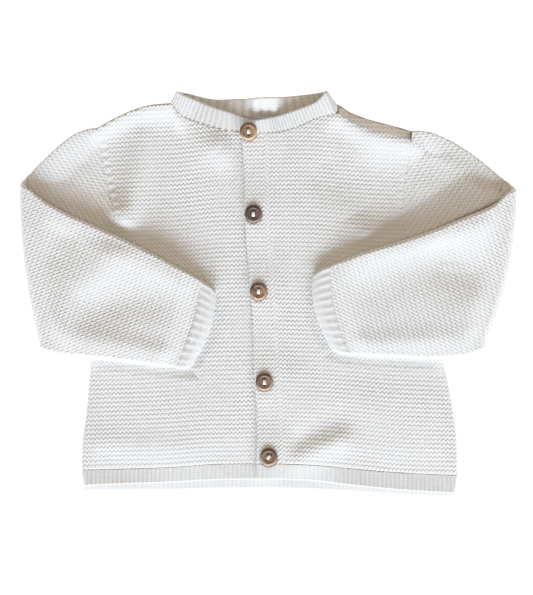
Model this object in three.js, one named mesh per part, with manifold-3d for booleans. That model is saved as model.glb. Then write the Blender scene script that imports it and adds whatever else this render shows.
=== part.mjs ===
// A baby's hand-knit cardigan, buttoned and laid flat on its back with both sleeves folded
// across the fronts. Millimetres, +Z up out of the table, +Y towards the neck.
// "Right" and "left" are the wearer's: the wearer's right side is at -X.

import * as THREE from "three";
import { mergeVertices } from "three/addons/utils/BufferGeometryUtils.js";
import Module from "manifold-3d";

const wasm = await Module();
wasm.setup();

// ---- Driving dimensions ----

const WALL = 2.6; // garter-stitch cloth
const SEAM = 0.3; // clearance between pieces at a seam, and between layers
const RIB_WALL = 2.0; // ribbed cloth in the channels between its ribs
const RIB_RISE = WALL - RIB_WALL; // how far a rib stands out of its wall
const EDGE_ROUND = 2.35; // radius of the rounded side and shoulder edges
const EDGE_THICK = 0.4; // what is left of a ribbed wall at its rounded side edge
const LAYER = WALL + SEAM; // height from one layer of cloth to the next
const FRONT_Z = LAYER; // underside of the fronts, which lie on the back
const OVER_Z = 2 * LAYER; // underside of what lies on the fronts
const STACK = 2 * WALL + SEAM; // a flattened tube, outside to outside

const NECK_RIB = 3.3; // spacing of the ribs round the neck
const HEM_RIB = 3.1; // spacing of the ribs along the hem
const CUFF_RIBS = 20; // ribs round a cuff

const UNDERARM_Y = 4; // height of both underarm points
const PLACKET_RAMP = 14; // width over which the left front comes down beside its band
const COVER_CLEAR = 3; // how far from a folded sleeve the fronts start to lift
const COVER_FADE = 10; // and the width over which they do
const BASE_LIFT = 0.9; // how far the fronts lie clear of the back where nothing presses them
const ARMHOLE_EASE = 0.3; // more clearance where flat facets follow the armhole's curve
const SHOULDER_STRIP = 7.5; // how far the back comes forward over the left shoulder

const BUTTON_RADIUS = 6.35;
const BUTTON_THICK = 3.2;
const BUTTON_DISH = 1.1; // depth of the hollow in a button's face
const BUTTON_RIM = 1.3; // width of the raised rim round it
const BUTTON_HOLE = 0.85; // radius of each thread hole
const BUTTON_HOLE_SPREAD = 1.7; // from the button's centre to each hole

// ---- Outlines, seen from above ----

// Side seams below the underarm, armhole seams above it.
const SIDES = [
  { y: -146, right: -133.0, left: 135.2 },
  { y: -127, right: -135.4, left: 137.2 },
  { y: -110, right: -135.2, left: 136.9 },
  { y: -92, right: -132.9, left: 135.2 },
  { y: -70, right: -130.7, left: 131.6 },
  { y: -48, right: -129.2, left: 127.0 },
  { y: -25, right: -127.1, left: 122.2 },
  { y: 4, right: -124.2, left: 116.9 },
  { y: 20, right: -117.6, left: 108.0 },
  { y: 40, right: -113.4, left: 101.0 },
  { y: 60, right: -112.8, left: 97.8 },
  { y: 78, right: -116.6, left: 98.8 },
  { y: 94, right: -120.2, left: 101.2 },
  { y: 122, right: -124.2, left: 105.0 },
];

// The buttonhole band: its free edge and the seam that joins it to the left front.
const PLACKET = [
  { y: -145, free: -7.8, seam: 10.6 },
  { y: -122, free: -8.8, seam: 9.8 },
  { y: -88, free: -8.6, seam: 8.8 },
  { y: -52, free: -10.8, seam: 6.9 },
  { y: -16, free: -11.8, seam: 4.6 },
  { y: 20, free: -14.6, seam: 2.2 },
  { y: 49, free: -17.0, seam: -0.4 },
  { y: 88, free: -17.8, seam: -1.1 },
  { y: 128, free: -20.4, seam: -1.6 },
];

// Where the hem's ribbing starts, where it ends in front, and where it ends behind.
const HEM = [
  { x: -140, start: -126.6, front: -138.6, back: -142.2 },
  { x: -107, start: -125.8, front: -137.2, back: -141.8 },
  { x: -71, start: -124.6, front: -136.0, back: -141.4 },
  { x: -35, start: -122.2, front: -134.0, back: -140.6 },
  { x: 0, start: -122.0, front: -133.6, back: -140.4 },
  { x: 28, start: -122.8, front: -134.6, back: -141.0 },
  { x: 59, start: -125.4, front: -138.0, back: -142.6 },
  { x: 90, start: -128.1, front: -141.0, back: -144.6 },
  { x: 121, start: -129.7, front: -143.2, back: -146.2 },
  { x: 140, start: -130.4, front: -143.8, back: -145.4 },
];

// Shoulder and neck seams of the back. The rows at RIGHT_NECK and LEFT_NECK are the points
// where shoulder and neck meet.
const RIGHT_NECK = -69.9;
const LEFT_NECK = 49.6;
const BACK_TOP = [
  { x: -140, y: 114.0 },
  { x: -124.2, y: 121.4 },
  { x: -111, y: 128.6 },
  { x: -97, y: 134.8 },
  { x: -84, y: 138.2 },
  { x: RIGHT_NECK, y: 139.2 },
  { x: -60, y: 133.6 },
  { x: -38, y: 130.6 },
  { x: -13, y: 129.8 },
  { x: 12, y: 130.4 },
  { x: 36, y: 133.4 },
  { x: LEFT_NECK, y: 138.4 },
  { x: 59, y: 132.8 },
  { x: 76, y: 126.6 },
  { x: 90, y: 123.0 },
  { x: 105, y: 118.6 },
  { x: 120, y: 113.0 },
];

// Neck seam of the fronts, between the same two points.
const FRONT_NECK = [
  { x: RIGHT_NECK, y: 139.2 },
  { x: -66.5, y: 132.4 },
  { x: -56, y: 126.2 },
  { x: -42, y: 121.8 },
  { x: -25, y: 118.2 },
  { x: -8, y: 116.6 },
  { x: 3, y: 117.2 },
  { x: 12, y: 118.6 },
  { x: 21, y: 121.2 },
  { x: 30, y: 125.4 },
  { x: 39, y: 128.8 },
  { x: LEFT_NECK, y: 130.9 },
];

// The neckband from its hidden end under the placket, round the back, to its end on top. Each
// row joins a point of the neck seam to the point of the band's free rim above it. Layer 0 lies
// on the table, 1 on the back, and 2 on the other end of the band.
const NECKBAND = [
  { seamX: -9.8, rimX: -13.0, rimY: 127.4, layer: 1 },
  { seamX: -25.0, rimX: -25.4, rimY: 131.8, layer: 1 },
  { seamX: -42.0, rimX: -38.6, rimY: 136.0, layer: 1 },
  { seamX: -56.0, rimX: -50.8, rimY: 140.8, layer: 1 },
  { seamX: -66.0, rimX: -60.6, rimY: 144.6, layer: 1 },
  { seamX: RIGHT_NECK, rimX: -65.6, rimY: 147.6, layer: 0.5 },
  { seamX: -60.0, rimX: -58.4, rimY: 146.4, layer: 0 },
  { seamX: -38.0, rimX: -36.9, rimY: 142.0, layer: 0 },
  { seamX: -13.0, rimX: -12.6, rimY: 142.8, layer: 0 },
  { seamX: 12.0, rimX: 11.2, rimY: 144.0, layer: 0 },
  { seamX: 36.0, rimX: 30.6, rimY: 146.0, layer: 0 },
  { seamX: LEFT_NECK, rimX: 41.6, rimY: 147.8, layer: 0.5 },
  { seamX: 39.4, rimX: 34.6, rimY: 140.4, layer: 1 },
  { seamX: 30.0, rimX: 25.4, rimY: 136.4, layer: 1 },
  { seamX: 21.0, rimX: 16.2, rimY: 133.2, layer: 1 },
  { seamX: 12.0, rimX: 8.2, rimY: 130.6, layer: 1 },
  { seamX: 3.0, rimX: 0.4, rimY: 128.6, layer: 2 },
  { seamX: -8.3, rimX: -9.4, rimY: 126.8, layer: 2 },
  { seamX: -18.6, rimX: -18.2, rimY: 125.8, layer: 2 },
];

// Sleeves, each as lines across the flattened tube. "top" is the edge on the shoulder's side,
// "low" the underarm's edge, and "out" is measured from the middle of the garment. The upper
// rows run out from the armhole to the fold, and the fore rows back in to the cuff.
const SLEEVES = [
  {
    name: "right",
    side: -1,
    foldBow: 1.2,
    seamBow: 3.4,
    upper: [
      { topOut: 124.6, topY: 121.4, lowOut: 124.6, lowY: UNDERARM_Y },
      { topOut: 140.0, topY: 116.2, lowOut: 137.0, lowY: -8.5 },
      { topOut: 157.5, topY: 102.4, lowOut: 150.0, lowY: -21 },
      { topOut: 174.6, topY: 82.0, lowOut: 161.2, lowY: -32 },
    ],
    fore: [
      { topOut: 174.6, topY: 77.4, lowOut: 161.2, lowY: -34 },
      { topOut: 160.5, topY: 67.4, lowOut: 151.5, lowY: -42.0 },
      { topOut: 140.0, topY: 56.6, lowOut: 135.5, lowY: -45.4 },
      { topOut: 115.0, topY: 45.0, lowOut: 118.0, lowY: -47.4 },
      { topOut: 90.0, topY: 32.2, lowOut: 100.0, lowY: -49.4 },
      { topOut: 68.0, topY: 20.2, lowOut: 84.0, lowY: -51.4 },
      { topOut: 48.0, topY: 9.0, lowOut: 69.0, lowY: -52.4 },
    ],
    cuff: [
      { topOut: 47.4, topY: 8.6, lowOut: 68.4, lowY: -52.5, bow: 3.4 },
      { topOut: 42.2, topY: 5.4, lowOut: 62.8, lowY: -53.3, bow: 4.4 },
      { topOut: 37.2, topY: 1.6, lowOut: 57.6, lowY: -53.6, bow: 5.2 },
    ],
  },
  {
    name: "left",
    side: 1,
    foldBow: 2.6,
    seamBow: 5.0,
    upper: [
      { topOut: 105.4, topY: 117.6, lowOut: 117.3, lowY: UNDERARM_Y },
      { topOut: 126.0, topY: 115.6, lowOut: 129.0, lowY: -8.5 },
      { topOut: 150.0, topY: 100.6, lowOut: 141.0, lowY: -21 },
      { topOut: 174.6, topY: 80.0, lowOut: 153.4, lowY: -32 },
    ],
    fore: [
      { topOut: 174.6, topY: 73.4, lowOut: 153.4, lowY: -34 },
      { topOut: 160.0, topY: 63.6, lowOut: 145.0, lowY: -42.4 },
      { topOut: 141.0, topY: 55.4, lowOut: 129.0, lowY: -46.4 },
      { topOut: 116.0, topY: 45.2, lowOut: 112.0, lowY: -46.8 },
      { topOut: 91.0, topY: 36.4, lowOut: 95.0, lowY: -45.8 },
      { topOut: 68.0, topY: 29.4, lowOut: 78.0, lowY: -45.2 },
      { topOut: 45.6, topY: 20.0, lowOut: 61.0, lowY: -43.6 },
    ],
    cuff: [
      { topOut: 45.0, topY: 19.6, lowOut: 60.4, lowY: -43.5, bow: 5.0 },
      { topOut: 38.2, topY: 17.6, lowOut: 53.4, lowY: -42.6, bow: 5.2 },
      { topOut: 31.8, topY: 13.8, lowOut: 46.8, lowY: -40.6, bow: 5.2 },
    ],
  },
];

// Folds: soft ridges (rise above zero) and troughs, each along a line from 1 to 2.
const FRONT_FOLDS = [
  { x1: -92, y1: 108, x2: -99, y2: 54, width: 8, rise: 1.6 }, // crest beside the right armhole
  { x1: -106, y1: 62, x2: -98, y2: 53, width: 7, rise: 1.0 }, // its rounded lower end
  { x1: -142, y1: 98, x2: -138, y2: 92, width: 10, rise: 1.4 }, // swell of the right sleeve
  { x1: 70, y1: 110, x2: 92, y2: 100, width: 10, rise: 1.3 }, // swell under the left shoulder
  { x1: 60, y1: 50, x2: 78, y2: 54, width: 9, rise: 1.4 }, // swell beside the left armhole
  { x1: 14, y1: -60, x2: 18, y2: -94, width: 9, rise: 0.8 }, // beside the placket
  { x1: 16, y1: -114, x2: 60, y2: -93, width: 5, rise: -1.0 }, // slanting trough by the hem
  { x1: 22, y1: -122, x2: 50, y2: -107, width: 5, rise: 1.0 }, // ridge just below it
  { x1: -72, y1: -92, x2: -60, y2: -98, width: 28, rise: 0.7 }, // lower right front
  { x1: 88, y1: -86, x2: 96, y2: -96, width: 26, rise: 0.7 }, // lower left front
];
const FORE_FOLDS = [
  { x1: -102, y1: 32, x2: -144, y2: -26, width: 9, rise: 1.0 }, // slanting crest, right sleeve
  { x1: -150, y1: 34, x2: -158, y2: 8, width: 9, rise: -0.6 },
  { x1: -86, y1: -14, x2: -112, y2: -34, width: 11, rise: -0.5 },
  { x1: 92, y1: 27, x2: 152, y2: 42, width: 8, rise: 0.9 }, // crest along the left sleeve
  { x1: 148, y1: 22, x2: 98, y2: -22, width: 12, rise: -0.8 }, // trough slanting below it
  { x1: 60, y1: -2, x2: 74, y2: -20, width: 10, rise: 0.5 },
];
const FORE_LIFT = 2.0; // how far the forearm's two walls stand apart, beyond SEAM
const FORE_CROWN = 0.9; // and how much further in its middle

// Buttons from the neck down.
const BUTTONS = [
  { x: -14.5, y: 118.4, turn: 8 },
  { x: -10.9, y: 58.6, turn: 0 },
  { x: -7.2, y: 2.5, turn: -4 },
  { x: -2.9, y: -63.0, turn: 0 },
  { x: 0.2, y: -117.4, turn: -38 },
];

// ---- Curves and folds ----

const lerp = THREE.MathUtils.lerp;
const clamp = THREE.MathUtils.clamp;
const smooth = THREE.MathUtils.smoothstep; // smooth(value, from, to)

// Smooth curve through a table's rows that never overshoots them: column `to` as a function of
// column `from`, which rises or falls down the table.
function track(rows, from, to) {
  const sorted = [...rows].sort((a, b) => a[from] - b[from]);
  const xs = sorted.map((row) => row[from]);
  const ys = sorted.map((row) => row[to]);
  const last = xs.length - 1;
  const steps = xs.slice(1).map((x, i) => x - xs[i]);
  const rises = ys.slice(1).map((y, i) => (y - ys[i]) / steps[i]);
  const slopes = xs.map((_, i) => {
    if (i === 0) return rises[0];
    if (i === last) return rises[last - 1];
    if (rises[i - 1] * rises[i] <= 0) return 0;
    return (2 * rises[i - 1] * rises[i]) / (rises[i - 1] + rises[i]);
  });
  return (x) => {
    if (x <= xs[0]) return ys[0] + slopes[0] * (x - xs[0]);
    if (x >= xs[last]) return ys[last] + slopes[last] * (x - xs[last]);
    let i = 0;
    while (x > xs[i + 1]) i += 1;
    const t = (x - xs[i]) / steps[i];
    const start = ys[i] * (1 + 2 * t) * (1 - t) ** 2 + slopes[i] * steps[i] * t * (1 - t) ** 2;
    const end = ys[i + 1] * (3 - 2 * t) * t ** 2 - slopes[i + 1] * steps[i] * (1 - t) * t ** 2;
    return start + end;
  };
}

// A table's rows read at a fraction of the way down it, every column smoothly.
function rowAt(rows, fraction) {
  const numbered = rows.map((row, index) => ({ ...row, index }));
  const place = fraction * (rows.length - 1);
  const columns = Object.keys(rows[0]);
  return Object.fromEntries(columns.map((key) => [key, track(numbered, "index", key)(place)]));
}

function foldHeight(folds, x, y) {
  let height = 0;
  for (const { x1, y1, x2, y2, width, rise } of folds) {
    const along = clamp(((x - x1) * (x2 - x1) + (y - y1) * (y2 - y1)) /
      ((x2 - x1) ** 2 + (y2 - y1) ** 2), 0, 1);
    const away = Math.hypot(x - lerp(x1, x2, along), y - lerp(y1, y2, along));
    height += rise * Math.exp(-0.5 * (away / width) ** 2);
  }
  return height;
}

// How far a rounded edge has fallen away at a distance from it.
function edgeDrop(distance) {
  const inset = clamp(EDGE_ROUND - distance, 0, EDGE_ROUND);
  return EDGE_ROUND - Math.sqrt(EDGE_ROUND ** 2 - inset ** 2);
}

const sideRight = track(SIDES, "y", "right");
const sideLeft = track(SIDES, "y", "left");
const placketFree = track(PLACKET, "y", "free");
const placketSeam = track(PLACKET, "y", "seam");
const hemStart = track(HEM, "x", "start");
const hemFront = track(HEM, "x", "front");
const hemBack = track(HEM, "x", "back");
const backTop = track(BACK_TOP, "x", "y");
const frontNeck = track(FRONT_NECK, "x", "y");

// Top edge of the fronts: the shoulder seams, and the neck seam between them.
function frontTop(x) {
  if (x <= RIGHT_NECK) return backTop(x);
  if (x >= LEFT_NECK) return backTop(x) - SHOULDER_STRIP;
  return frontNeck(x);
}

// How much of a point on the fronts is pressed down by a folded sleeve: 1 under it, 0 well away.
const covers = SLEEVES.map(({ side, fore, cuff }) => {
  const edges = [...fore, ...cuff.slice(1)];
  const topEdge = track(edges, "topOut", "topY");
  const lowEdge = track(edges, "lowOut", "lowY");
  const end = cuff[cuff.length - 1];
  const cuffEdge = (y) => {
    const across = clamp((y - end.topY) / (end.lowY - end.topY), 0, 1);
    return lerp(end.topOut, end.lowOut, across) - 4 * end.bow * across * (1 - across);
  };
  return (x, y) => {
    const out = side * x;
    const away = Math.max(y - topEdge(out), lowEdge(out) - y, cuffEdge(y) - out);
    return 1 - smooth(away, COVER_CLEAR, COVER_CLEAR + COVER_FADE);
  };
});

// Height of the fronts' underside above where they would lie if pressed flat. It fades out under
// the folded sleeves, at the shoulders and along the side seams.
function lift(x, y) {
  const free = covers.reduce((left, cover) => left * (1 - cover(x, y)), 1);
  const shoulder = smooth(frontTop(x) - y, 0, 14);
  const side = Math.min(x - sideRight(y), sideLeft(y) - x);
  const seam = Math.max(smooth(side, 0, 12), smooth(y, UNDERARM_Y - 8, UNDERARM_Y + 16));
  const hem = smooth(y - hemStart(x), -8, 12);
  const open = free * shoulder * seam * lerp(0.35, 1, hem);
  return Math.max(0, BASE_LIFT + foldHeight(FRONT_FOLDS, x, y)) * open;
}

// Underside of the right front, which is pressed flat under the placket.
function underLevel(x, y) {
  return FRONT_Z + lift(x, y) * (1 - smooth(x, placketFree(y) - 12, placketFree(y) - 2));
}

// Underside of the left front, which comes down from the placket to lie on the back.
function overLevel(x, y) {
  const raised = 1 - smooth(x, placketSeam(y) + 1, placketSeam(y) + PLACKET_RAMP);
  return lerp(FRONT_Z + lift(x, y), OVER_Z, raised);
}

// ---- Solids from grids ----

// One closed mesh from triangles given as corner points, turned inside out if it needs it.
function closedGeometry(points, faces) {
  const positions = new Float32Array(points.flatMap((p) => [p.x, p.y, p.z]));
  let volume = 0;
  for (const [a, b, c] of faces) {
    volume += points[a].dot(new THREE.Vector3().crossVectors(points[b], points[c]));
  }
  const outward = volume > 0 ? faces : faces.map(([a, b, c]) => [a, c, b]);
  const geometry = new THREE.BufferGeometry();
  geometry.setAttribute("position", new THREE.BufferAttribute(positions, 3));
  geometry.setIndex(outward.flat());
  return geometry;
}

// Two triangles between corner indices that go round.
function quad(faces, a, b, c, d) {
  faces.push([a, b, c], [a, c, d]);
}

// A sheet with thickness: two grids of points of the same size, joined all round their rims.
function sheetGeometry(upper, lower) {
  const rows = upper.length;
  const columns = upper[0].length;
  const points = [...upper.flat(), ...lower.flat()];
  const up = (i, j) => i * columns + j;
  const down = (i, j) => rows * columns + i * columns + j;
  const faces = [];
  for (let i = 0; i < rows - 1; i += 1) {
    for (let j = 0; j < columns - 1; j += 1) {
      quad(faces, up(i, j), up(i, j + 1), up(i + 1, j + 1), up(i + 1, j));
      quad(faces, down(i, j), down(i + 1, j), down(i + 1, j + 1), down(i, j + 1));
    }
  }
  for (let j = 0; j < columns - 1; j += 1) {
    quad(faces, up(0, j), down(0, j), down(0, j + 1), up(0, j + 1));
    quad(faces, up(rows - 1, j), up(rows - 1, j + 1), down(rows - 1, j + 1), down(rows - 1, j));
  }
  for (let i = 0; i < rows - 1; i += 1) {
    quad(faces, up(i, 0), up(i + 1, 0), down(i + 1, 0), down(i, 0));
    quad(faces, up(i, columns - 1), down(i, columns - 1), down(i + 1, columns - 1),
      up(i + 1, columns - 1));
  }
  return closedGeometry(points, faces);
}

// A tube with a wall: rings of outer and inner points, open at both ends.
function tubeGeometry(outer, inner) {
  const rings = outer.length;
  const around = outer[0].length;
  const points = [...outer.flat(), ...inner.flat()];
  const out = (i, j) => i * around + (j % around);
  const within = (i, j) => rings * around + i * around + (j % around);
  const faces = [];
  for (let j = 0; j < around; j += 1) {
    for (let i = 0; i < rings - 1; i += 1) {
      quad(faces, out(i, j), out(i, j + 1), out(i + 1, j + 1), out(i + 1, j));
      quad(faces, within(i, j), within(i + 1, j), within(i + 1, j + 1), within(i, j + 1));
    }
    quad(faces, out(0, j), within(0, j), within(0, j + 1), out(0, j + 1));
    quad(faces, out(rings - 1, j), out(rings - 1, j + 1), within(rings - 1, j + 1),
      within(rings - 1, j));
  }
  return closedGeometry(points, faces);
}

// Lines across a panel: even fractions of the way over it, fractions given one by one, and
// lines at a fixed inset from its far edge (or from its near edge where the inset is below zero).
function lines(count, insets = [], fractions = []) {
  const even = Array.from({ length: count + 1 }, (_, i) => i / count);
  const kept = even.filter((at) => fractions.every((f) => Math.abs(at - f) > 0.35 / count));
  const whole = [...kept, ...fractions].sort((a, b) => a - b).map((at) => ({ at, inset: 0 }));
  const near = insets.filter((inset) => inset < 0).map((inset) => ({ at: 0, inset }));
  const far = insets.filter((inset) => inset > 0).map((inset) => ({ at: 1, inset }));
  return [whole[0], ...near, ...whole.slice(1, -1), ...far, whole[whole.length - 1]];
}

// ---- Flat panels ----

// A panel between two edge lines (x as functions of y) and a lower and upper line (y as
// functions of x). height(x, y, fromOuter, fromTop) gives its two faces.
function panelGeometry({ inner, outer, low, high, across, up, height }) {
  const upper = [];
  const lower = [];
  const direction = Math.sign(outer(0) - inner(0));
  for (const row of up) {
    const upperRow = [];
    const lowerRow = [];
    for (const column of across) {
      let x = lerp(inner(0), outer(0), column.at);
      let y = 0;
      for (let pass = 0; pass < 20; pass += 1) {
        y = lerp(low(x), high(x), row.at) - row.inset;
        x = lerp(inner(y), outer(y), column.at) - direction * column.inset;
      }
      const faces = height(x, y, Math.abs(outer(y) - x), Math.abs(high(x) - y));
      upperRow.push(new THREE.Vector3(x, y, faces.top));
      lowerRow.push(new THREE.Vector3(x, y, faces.bottom));
    }
    upper.push(upperRow);
    lower.push(lowerRow);
  }
  return sheetGeometry(upper, lower);
}

// Side seams and shoulders are rounded, but not the armholes, where the sleeve carries on.
function roundedBy(x, y, fromSide, fromTop, neck) {
  const side = edgeDrop(fromSide) * (1 - smooth(y, UNDERARM_Y, UNDERARM_Y + 6));
  const shoulder = edgeDrop(fromTop) * smooth(Math.abs(x - neck.centre), neck.half, neck.half + 3);
  return Math.max(side, shoulder);
}

const NECK = { centre: (RIGHT_NECK + LEFT_NECK) / 2, half: (LEFT_NECK - RIGHT_NECK) / 2 };
const ROUNDING = [EDGE_ROUND, 0.7]; // insets of the lines that shape a rounded edge

// Fractions of the way from one edge line to another of columns led to these places on the
// upper line, so that its corners and its steep stretches are followed.
function columnsTo(places, inner, outer, high) {
  return places.map((x) => (x - inner(high(x))) / (outer(high(x)) - inner(high(x))));
}

function frontRight() {
  const inner = (y) => placketFree(y) + 1;
  const neck = columnsTo([RIGHT_NECK + 8, RIGHT_NECK + 3.4, RIGHT_NECK + 1.6, RIGHT_NECK], inner,
    sideRight, frontTop);
  return panelGeometry({
    inner,
    outer: sideRight,
    low: (x) => hemStart(x) + SEAM / 2,
    high: (x) => frontTop(x) - (x > RIGHT_NECK ? SEAM / 2 : 0),
    across: lines(11, ROUNDING, neck),
    up: lines(19, ROUNDING),
    height: (x, y, fromSide, fromTop) => {
      const bottom = underLevel(x, y);
      return { top: bottom + WALL - roundedBy(x, y, fromSide, fromTop, NECK), bottom };
    },
  });
}

function frontLeft() {
  const inner = (y) => placketSeam(y) + SEAM / 2;
  const neck = columnsTo([LEFT_NECK], inner, sideLeft, frontTop);
  return panelGeometry({
    inner,
    outer: sideLeft,
    low: (x) => hemStart(x) + SEAM / 2,
    high: (x) => frontTop(x) - (x > LEFT_NECK - 1 ? SEAM : SEAM / 2),
    across: lines(11, ROUNDING, neck),
    up: lines(19),
    height: (x, y, fromSide) => {
      const bottom = overLevel(x, y);
      const drop = edgeDrop(fromSide) * (1 - smooth(y, UNDERARM_Y, UNDERARM_Y + 6));
      return { top: bottom + WALL - drop, bottom };
    },
  });
}

// The back lies on the table. On the left shoulder it turns up and forward to meet the front.
function back() {
  const TURN_START = SHOULDER_STRIP - 0.4;
  const neck = columnsTo([RIGHT_NECK, RIGHT_NECK + 3, RIGHT_NECK + 6, RIGHT_NECK + 10,
    RIGHT_NECK + 20, LEFT_NECK - 13, LEFT_NECK - 7, LEFT_NECK - 3, LEFT_NECK],
  sideRight, sideLeft, backTop);
  const turned = (x, fromTop) => smooth(x, LEFT_NECK + 2, LEFT_NECK + 6) *
    (fromTop < TURN_START + 0.1 ? 1 : 0);
  return panelGeometry({
    inner: sideRight,
    outer: sideLeft,
    low: (x) => hemStart(x) + SEAM,
    high: (x) => backTop(x) - (Math.abs(x - NECK.centre) < NECK.half ? SEAM / 2 : 0),
    across: lines(13, [-0.7, -EDGE_ROUND, ...ROUNDING], neck),
    up: lines(20, [SHOULDER_STRIP, TURN_START, ...ROUNDING]),
    height: (x, y, fromSide, fromTop) => {
      const nearSide = Math.min(fromSide, Math.abs(x - sideRight(y)));
      const drop = roundedBy(x, y, nearSide, fromTop, NECK);
      const rise = turned(x, fromTop);
      return { top: WALL + rise * (LAYER - edgeDrop(fromTop)), bottom: drop };
    },
  });
}

// A garter band of the placket, from hem to neckband.
function placketBand(from, to, level) {
  return panelGeometry({
    inner: from,
    outer: to,
    low: (x) => hemStart(x) + SEAM / 2,
    high: (x) => frontTop(x) - SEAM / 2,
    across: lines(2),
    up: lines(19),
    height: () => ({ top: level + WALL, bottom: level }),
  });
}

// A ribbed hem: the ribs run up it, and its side edges are rounded as the panel's are.
function hemBand({ inner, outer, low, level, ribbed, bottomRounded }) {
  const width = Math.abs(outer(-130) - inner(-130));
  const ribs = Math.round(width / HEM_RIB);
  const across = ribbed ? lines(2 * ribs) : lines(24);
  return panelGeometry({
    inner,
    outer,
    low,
    high: (x) => hemStart(x) - SEAM / 2,
    across,
    up: lines(1),
    height: (x, y, fromOuter) => {
      const rib = ribbed ? Math.round((fromOuter / width) * 2 * ribs) % 2 : 1;
      const fromSide = bottomRounded ? Math.min(fromOuter, Math.abs(x - inner(y))) : fromOuter;
      const bottom = level(x, y) + (bottomRounded ? edgeDrop(fromSide) : 0);
      const top = level(x, y) + (ribbed ? RIB_WALL + RIB_RISE * rib : WALL);
      const rounded = Math.max(top - edgeDrop(fromSide), bottom + EDGE_THICK);
      return { top: bottomRounded ? top : rounded, bottom };
    },
  });
}

// ---- Neckband ----

// Height up the garment of the band's seam, just clear of the panel it is sewn to. It leaves the
// back for the front as the band turns over at the side of the neck.
function neckSeam(row) {
  const edge = (x) => lerp(backTop(x), frontTop(x), smooth(row.layer, 0.9, 1));
  const slope = edge(row.seamX + 0.5) - edge(row.seamX - 0.5);
  return edge(row.seamX) + SEAM * Math.hypot(1, slope);
}

// A strip of ribbing swept along the neck seam. It lies on the fronts, turns down at each side
// of the neck and runs along the back. Its ribs stand up from whichever face is upward.
function neckbandGeometry() {
  const length = NECKBAND.slice(1).reduce((sum, row, i) => sum +
    Math.hypot(row.rimX - NECKBAND[i].rimX, row.rimY - NECKBAND[i].rimY), 0);
  const columns = 2 * Math.round(length / NECK_RIB);
  const strip = Array.from({ length: columns + 1 }, (_, j) => rowAt(NECKBAND, j / columns));
  const upright = new THREE.Vector3(0, 0, 1);
  const point = (row, v) => new THREE.Vector3(lerp(row.seamX, row.rimX, v),
    lerp(neckSeam(row), row.rimY, v), row.layer * LAYER + RIB_WALL / 2);
  const upper = [];
  const lower = [];
  for (const v of [0, 0.5, 1]) {
    const upperRow = [];
    const lowerRow = [];
    strip.forEach((row, j) => {
      const before = point(strip[Math.max(j - 1, 0)], v);
      const along = point(strip[Math.min(j + 1, columns)], v).sub(before).normalize();
      const rising = point(row, 1).sub(point(row, 0)).normalize();
      const outward = new THREE.Vector3().crossVectors(rising, along).normalize();
      const facing = outward.dot(upright);
      const rib = RIB_RISE * (j % 2);
      const centre = point(row, v);
      upperRow.push(centre.clone()
        .addScaledVector(outward, RIB_WALL / 2 + rib * smooth(facing, 0, 0.7)));
      lowerRow.push(centre.clone()
        .addScaledVector(outward, -RIB_WALL / 2 - rib * smooth(-facing, 0, 0.7)));
    });
    upper.push(upperRow);
    lower.push(lowerRow);
  }
  return sheetGeometry(upper, lower);
}

// ---- Sleeves and cuffs ----

const FOLD_HEIGHT = STACK + SEAM / 2; // height of the line that a sleeve folds about
const FLAT_POINTS = 9; // points across each face of a flattened sleeve
const END_ANGLES = [45, 0, -45]; // the rounded edge between them, in degrees

// Points round a flattened tube, as distances across it and heights. near and far are its two
// edges, and low and high its faces as functions of the distance across.
function flattenedRing(near, far, low, high) {
  const ring = [];
  const radius = (at) => (high(at) - low(at)) / 2;
  const start = near + radius(near);
  const end = far - radius(far);
  for (let k = 0; k < FLAT_POINTS; k += 1) {
    const at = lerp(start, end, k / (FLAT_POINTS - 1));
    ring.push([at, high(at)]);
  }
  for (const degrees of END_ANGLES) {
    const angle = THREE.MathUtils.degToRad(degrees);
    ring.push([end + radius(far) * Math.cos(angle),
      (high(far) + low(far)) / 2 + radius(far) * Math.sin(angle)]);
  }
  for (let k = 0; k < FLAT_POINTS; k += 1) {
    const at = lerp(end, start, k / (FLAT_POINTS - 1));
    ring.push([at, low(at)]);
  }
  for (const degrees of [...END_ANGLES].reverse()) {
    const angle = THREE.MathUtils.degToRad(degrees);
    ring.push([start - radius(near) * Math.cos(angle),
      (high(near) + low(near)) / 2 + radius(near) * Math.sin(angle)]);
  }
  return ring;
}

// The stations of a sleeve: lines across it in plan, and how far it has turned about its fold.
function sleeveStations(sleeve) {
  const UPPER_STEPS = 4;
  const FOLD_STEPS = 6;
  const FORE_STEPS = 7;
  const stations = [];
  for (let k = 0; k <= UPPER_STEPS; k += 1) {
    const t = k / UPPER_STEPS;
    stations.push({ ...rowAt(sleeve.upper, t), turn: 0, armhole: 1 - t, bow: -sleeve.foldBow * t });
  }
  for (let k = 1; k < FOLD_STEPS; k += 1) {
    const t = k / FOLD_STEPS;
    const from = sleeve.upper[sleeve.upper.length - 1];
    const to = sleeve.fore[0];
    const row = Object.fromEntries(Object.keys(from).map((key) => [key, lerp(from[key], to[key], t)]));
    stations.push({ ...row, turn: Math.PI * t, armhole: 0, bow: -sleeve.foldBow });
  }
  for (let k = 0; k <= FORE_STEPS; k += 1) {
    const t = k / FORE_STEPS;
    const bow = lerp(-sleeve.foldBow, sleeve.seamBow, smooth(t, 0, 1));
    stations.push({ ...rowAt(sleeve.fore, t), turn: Math.PI, armhole: 0, bow, along: t });
  }
  return stations;
}

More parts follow.
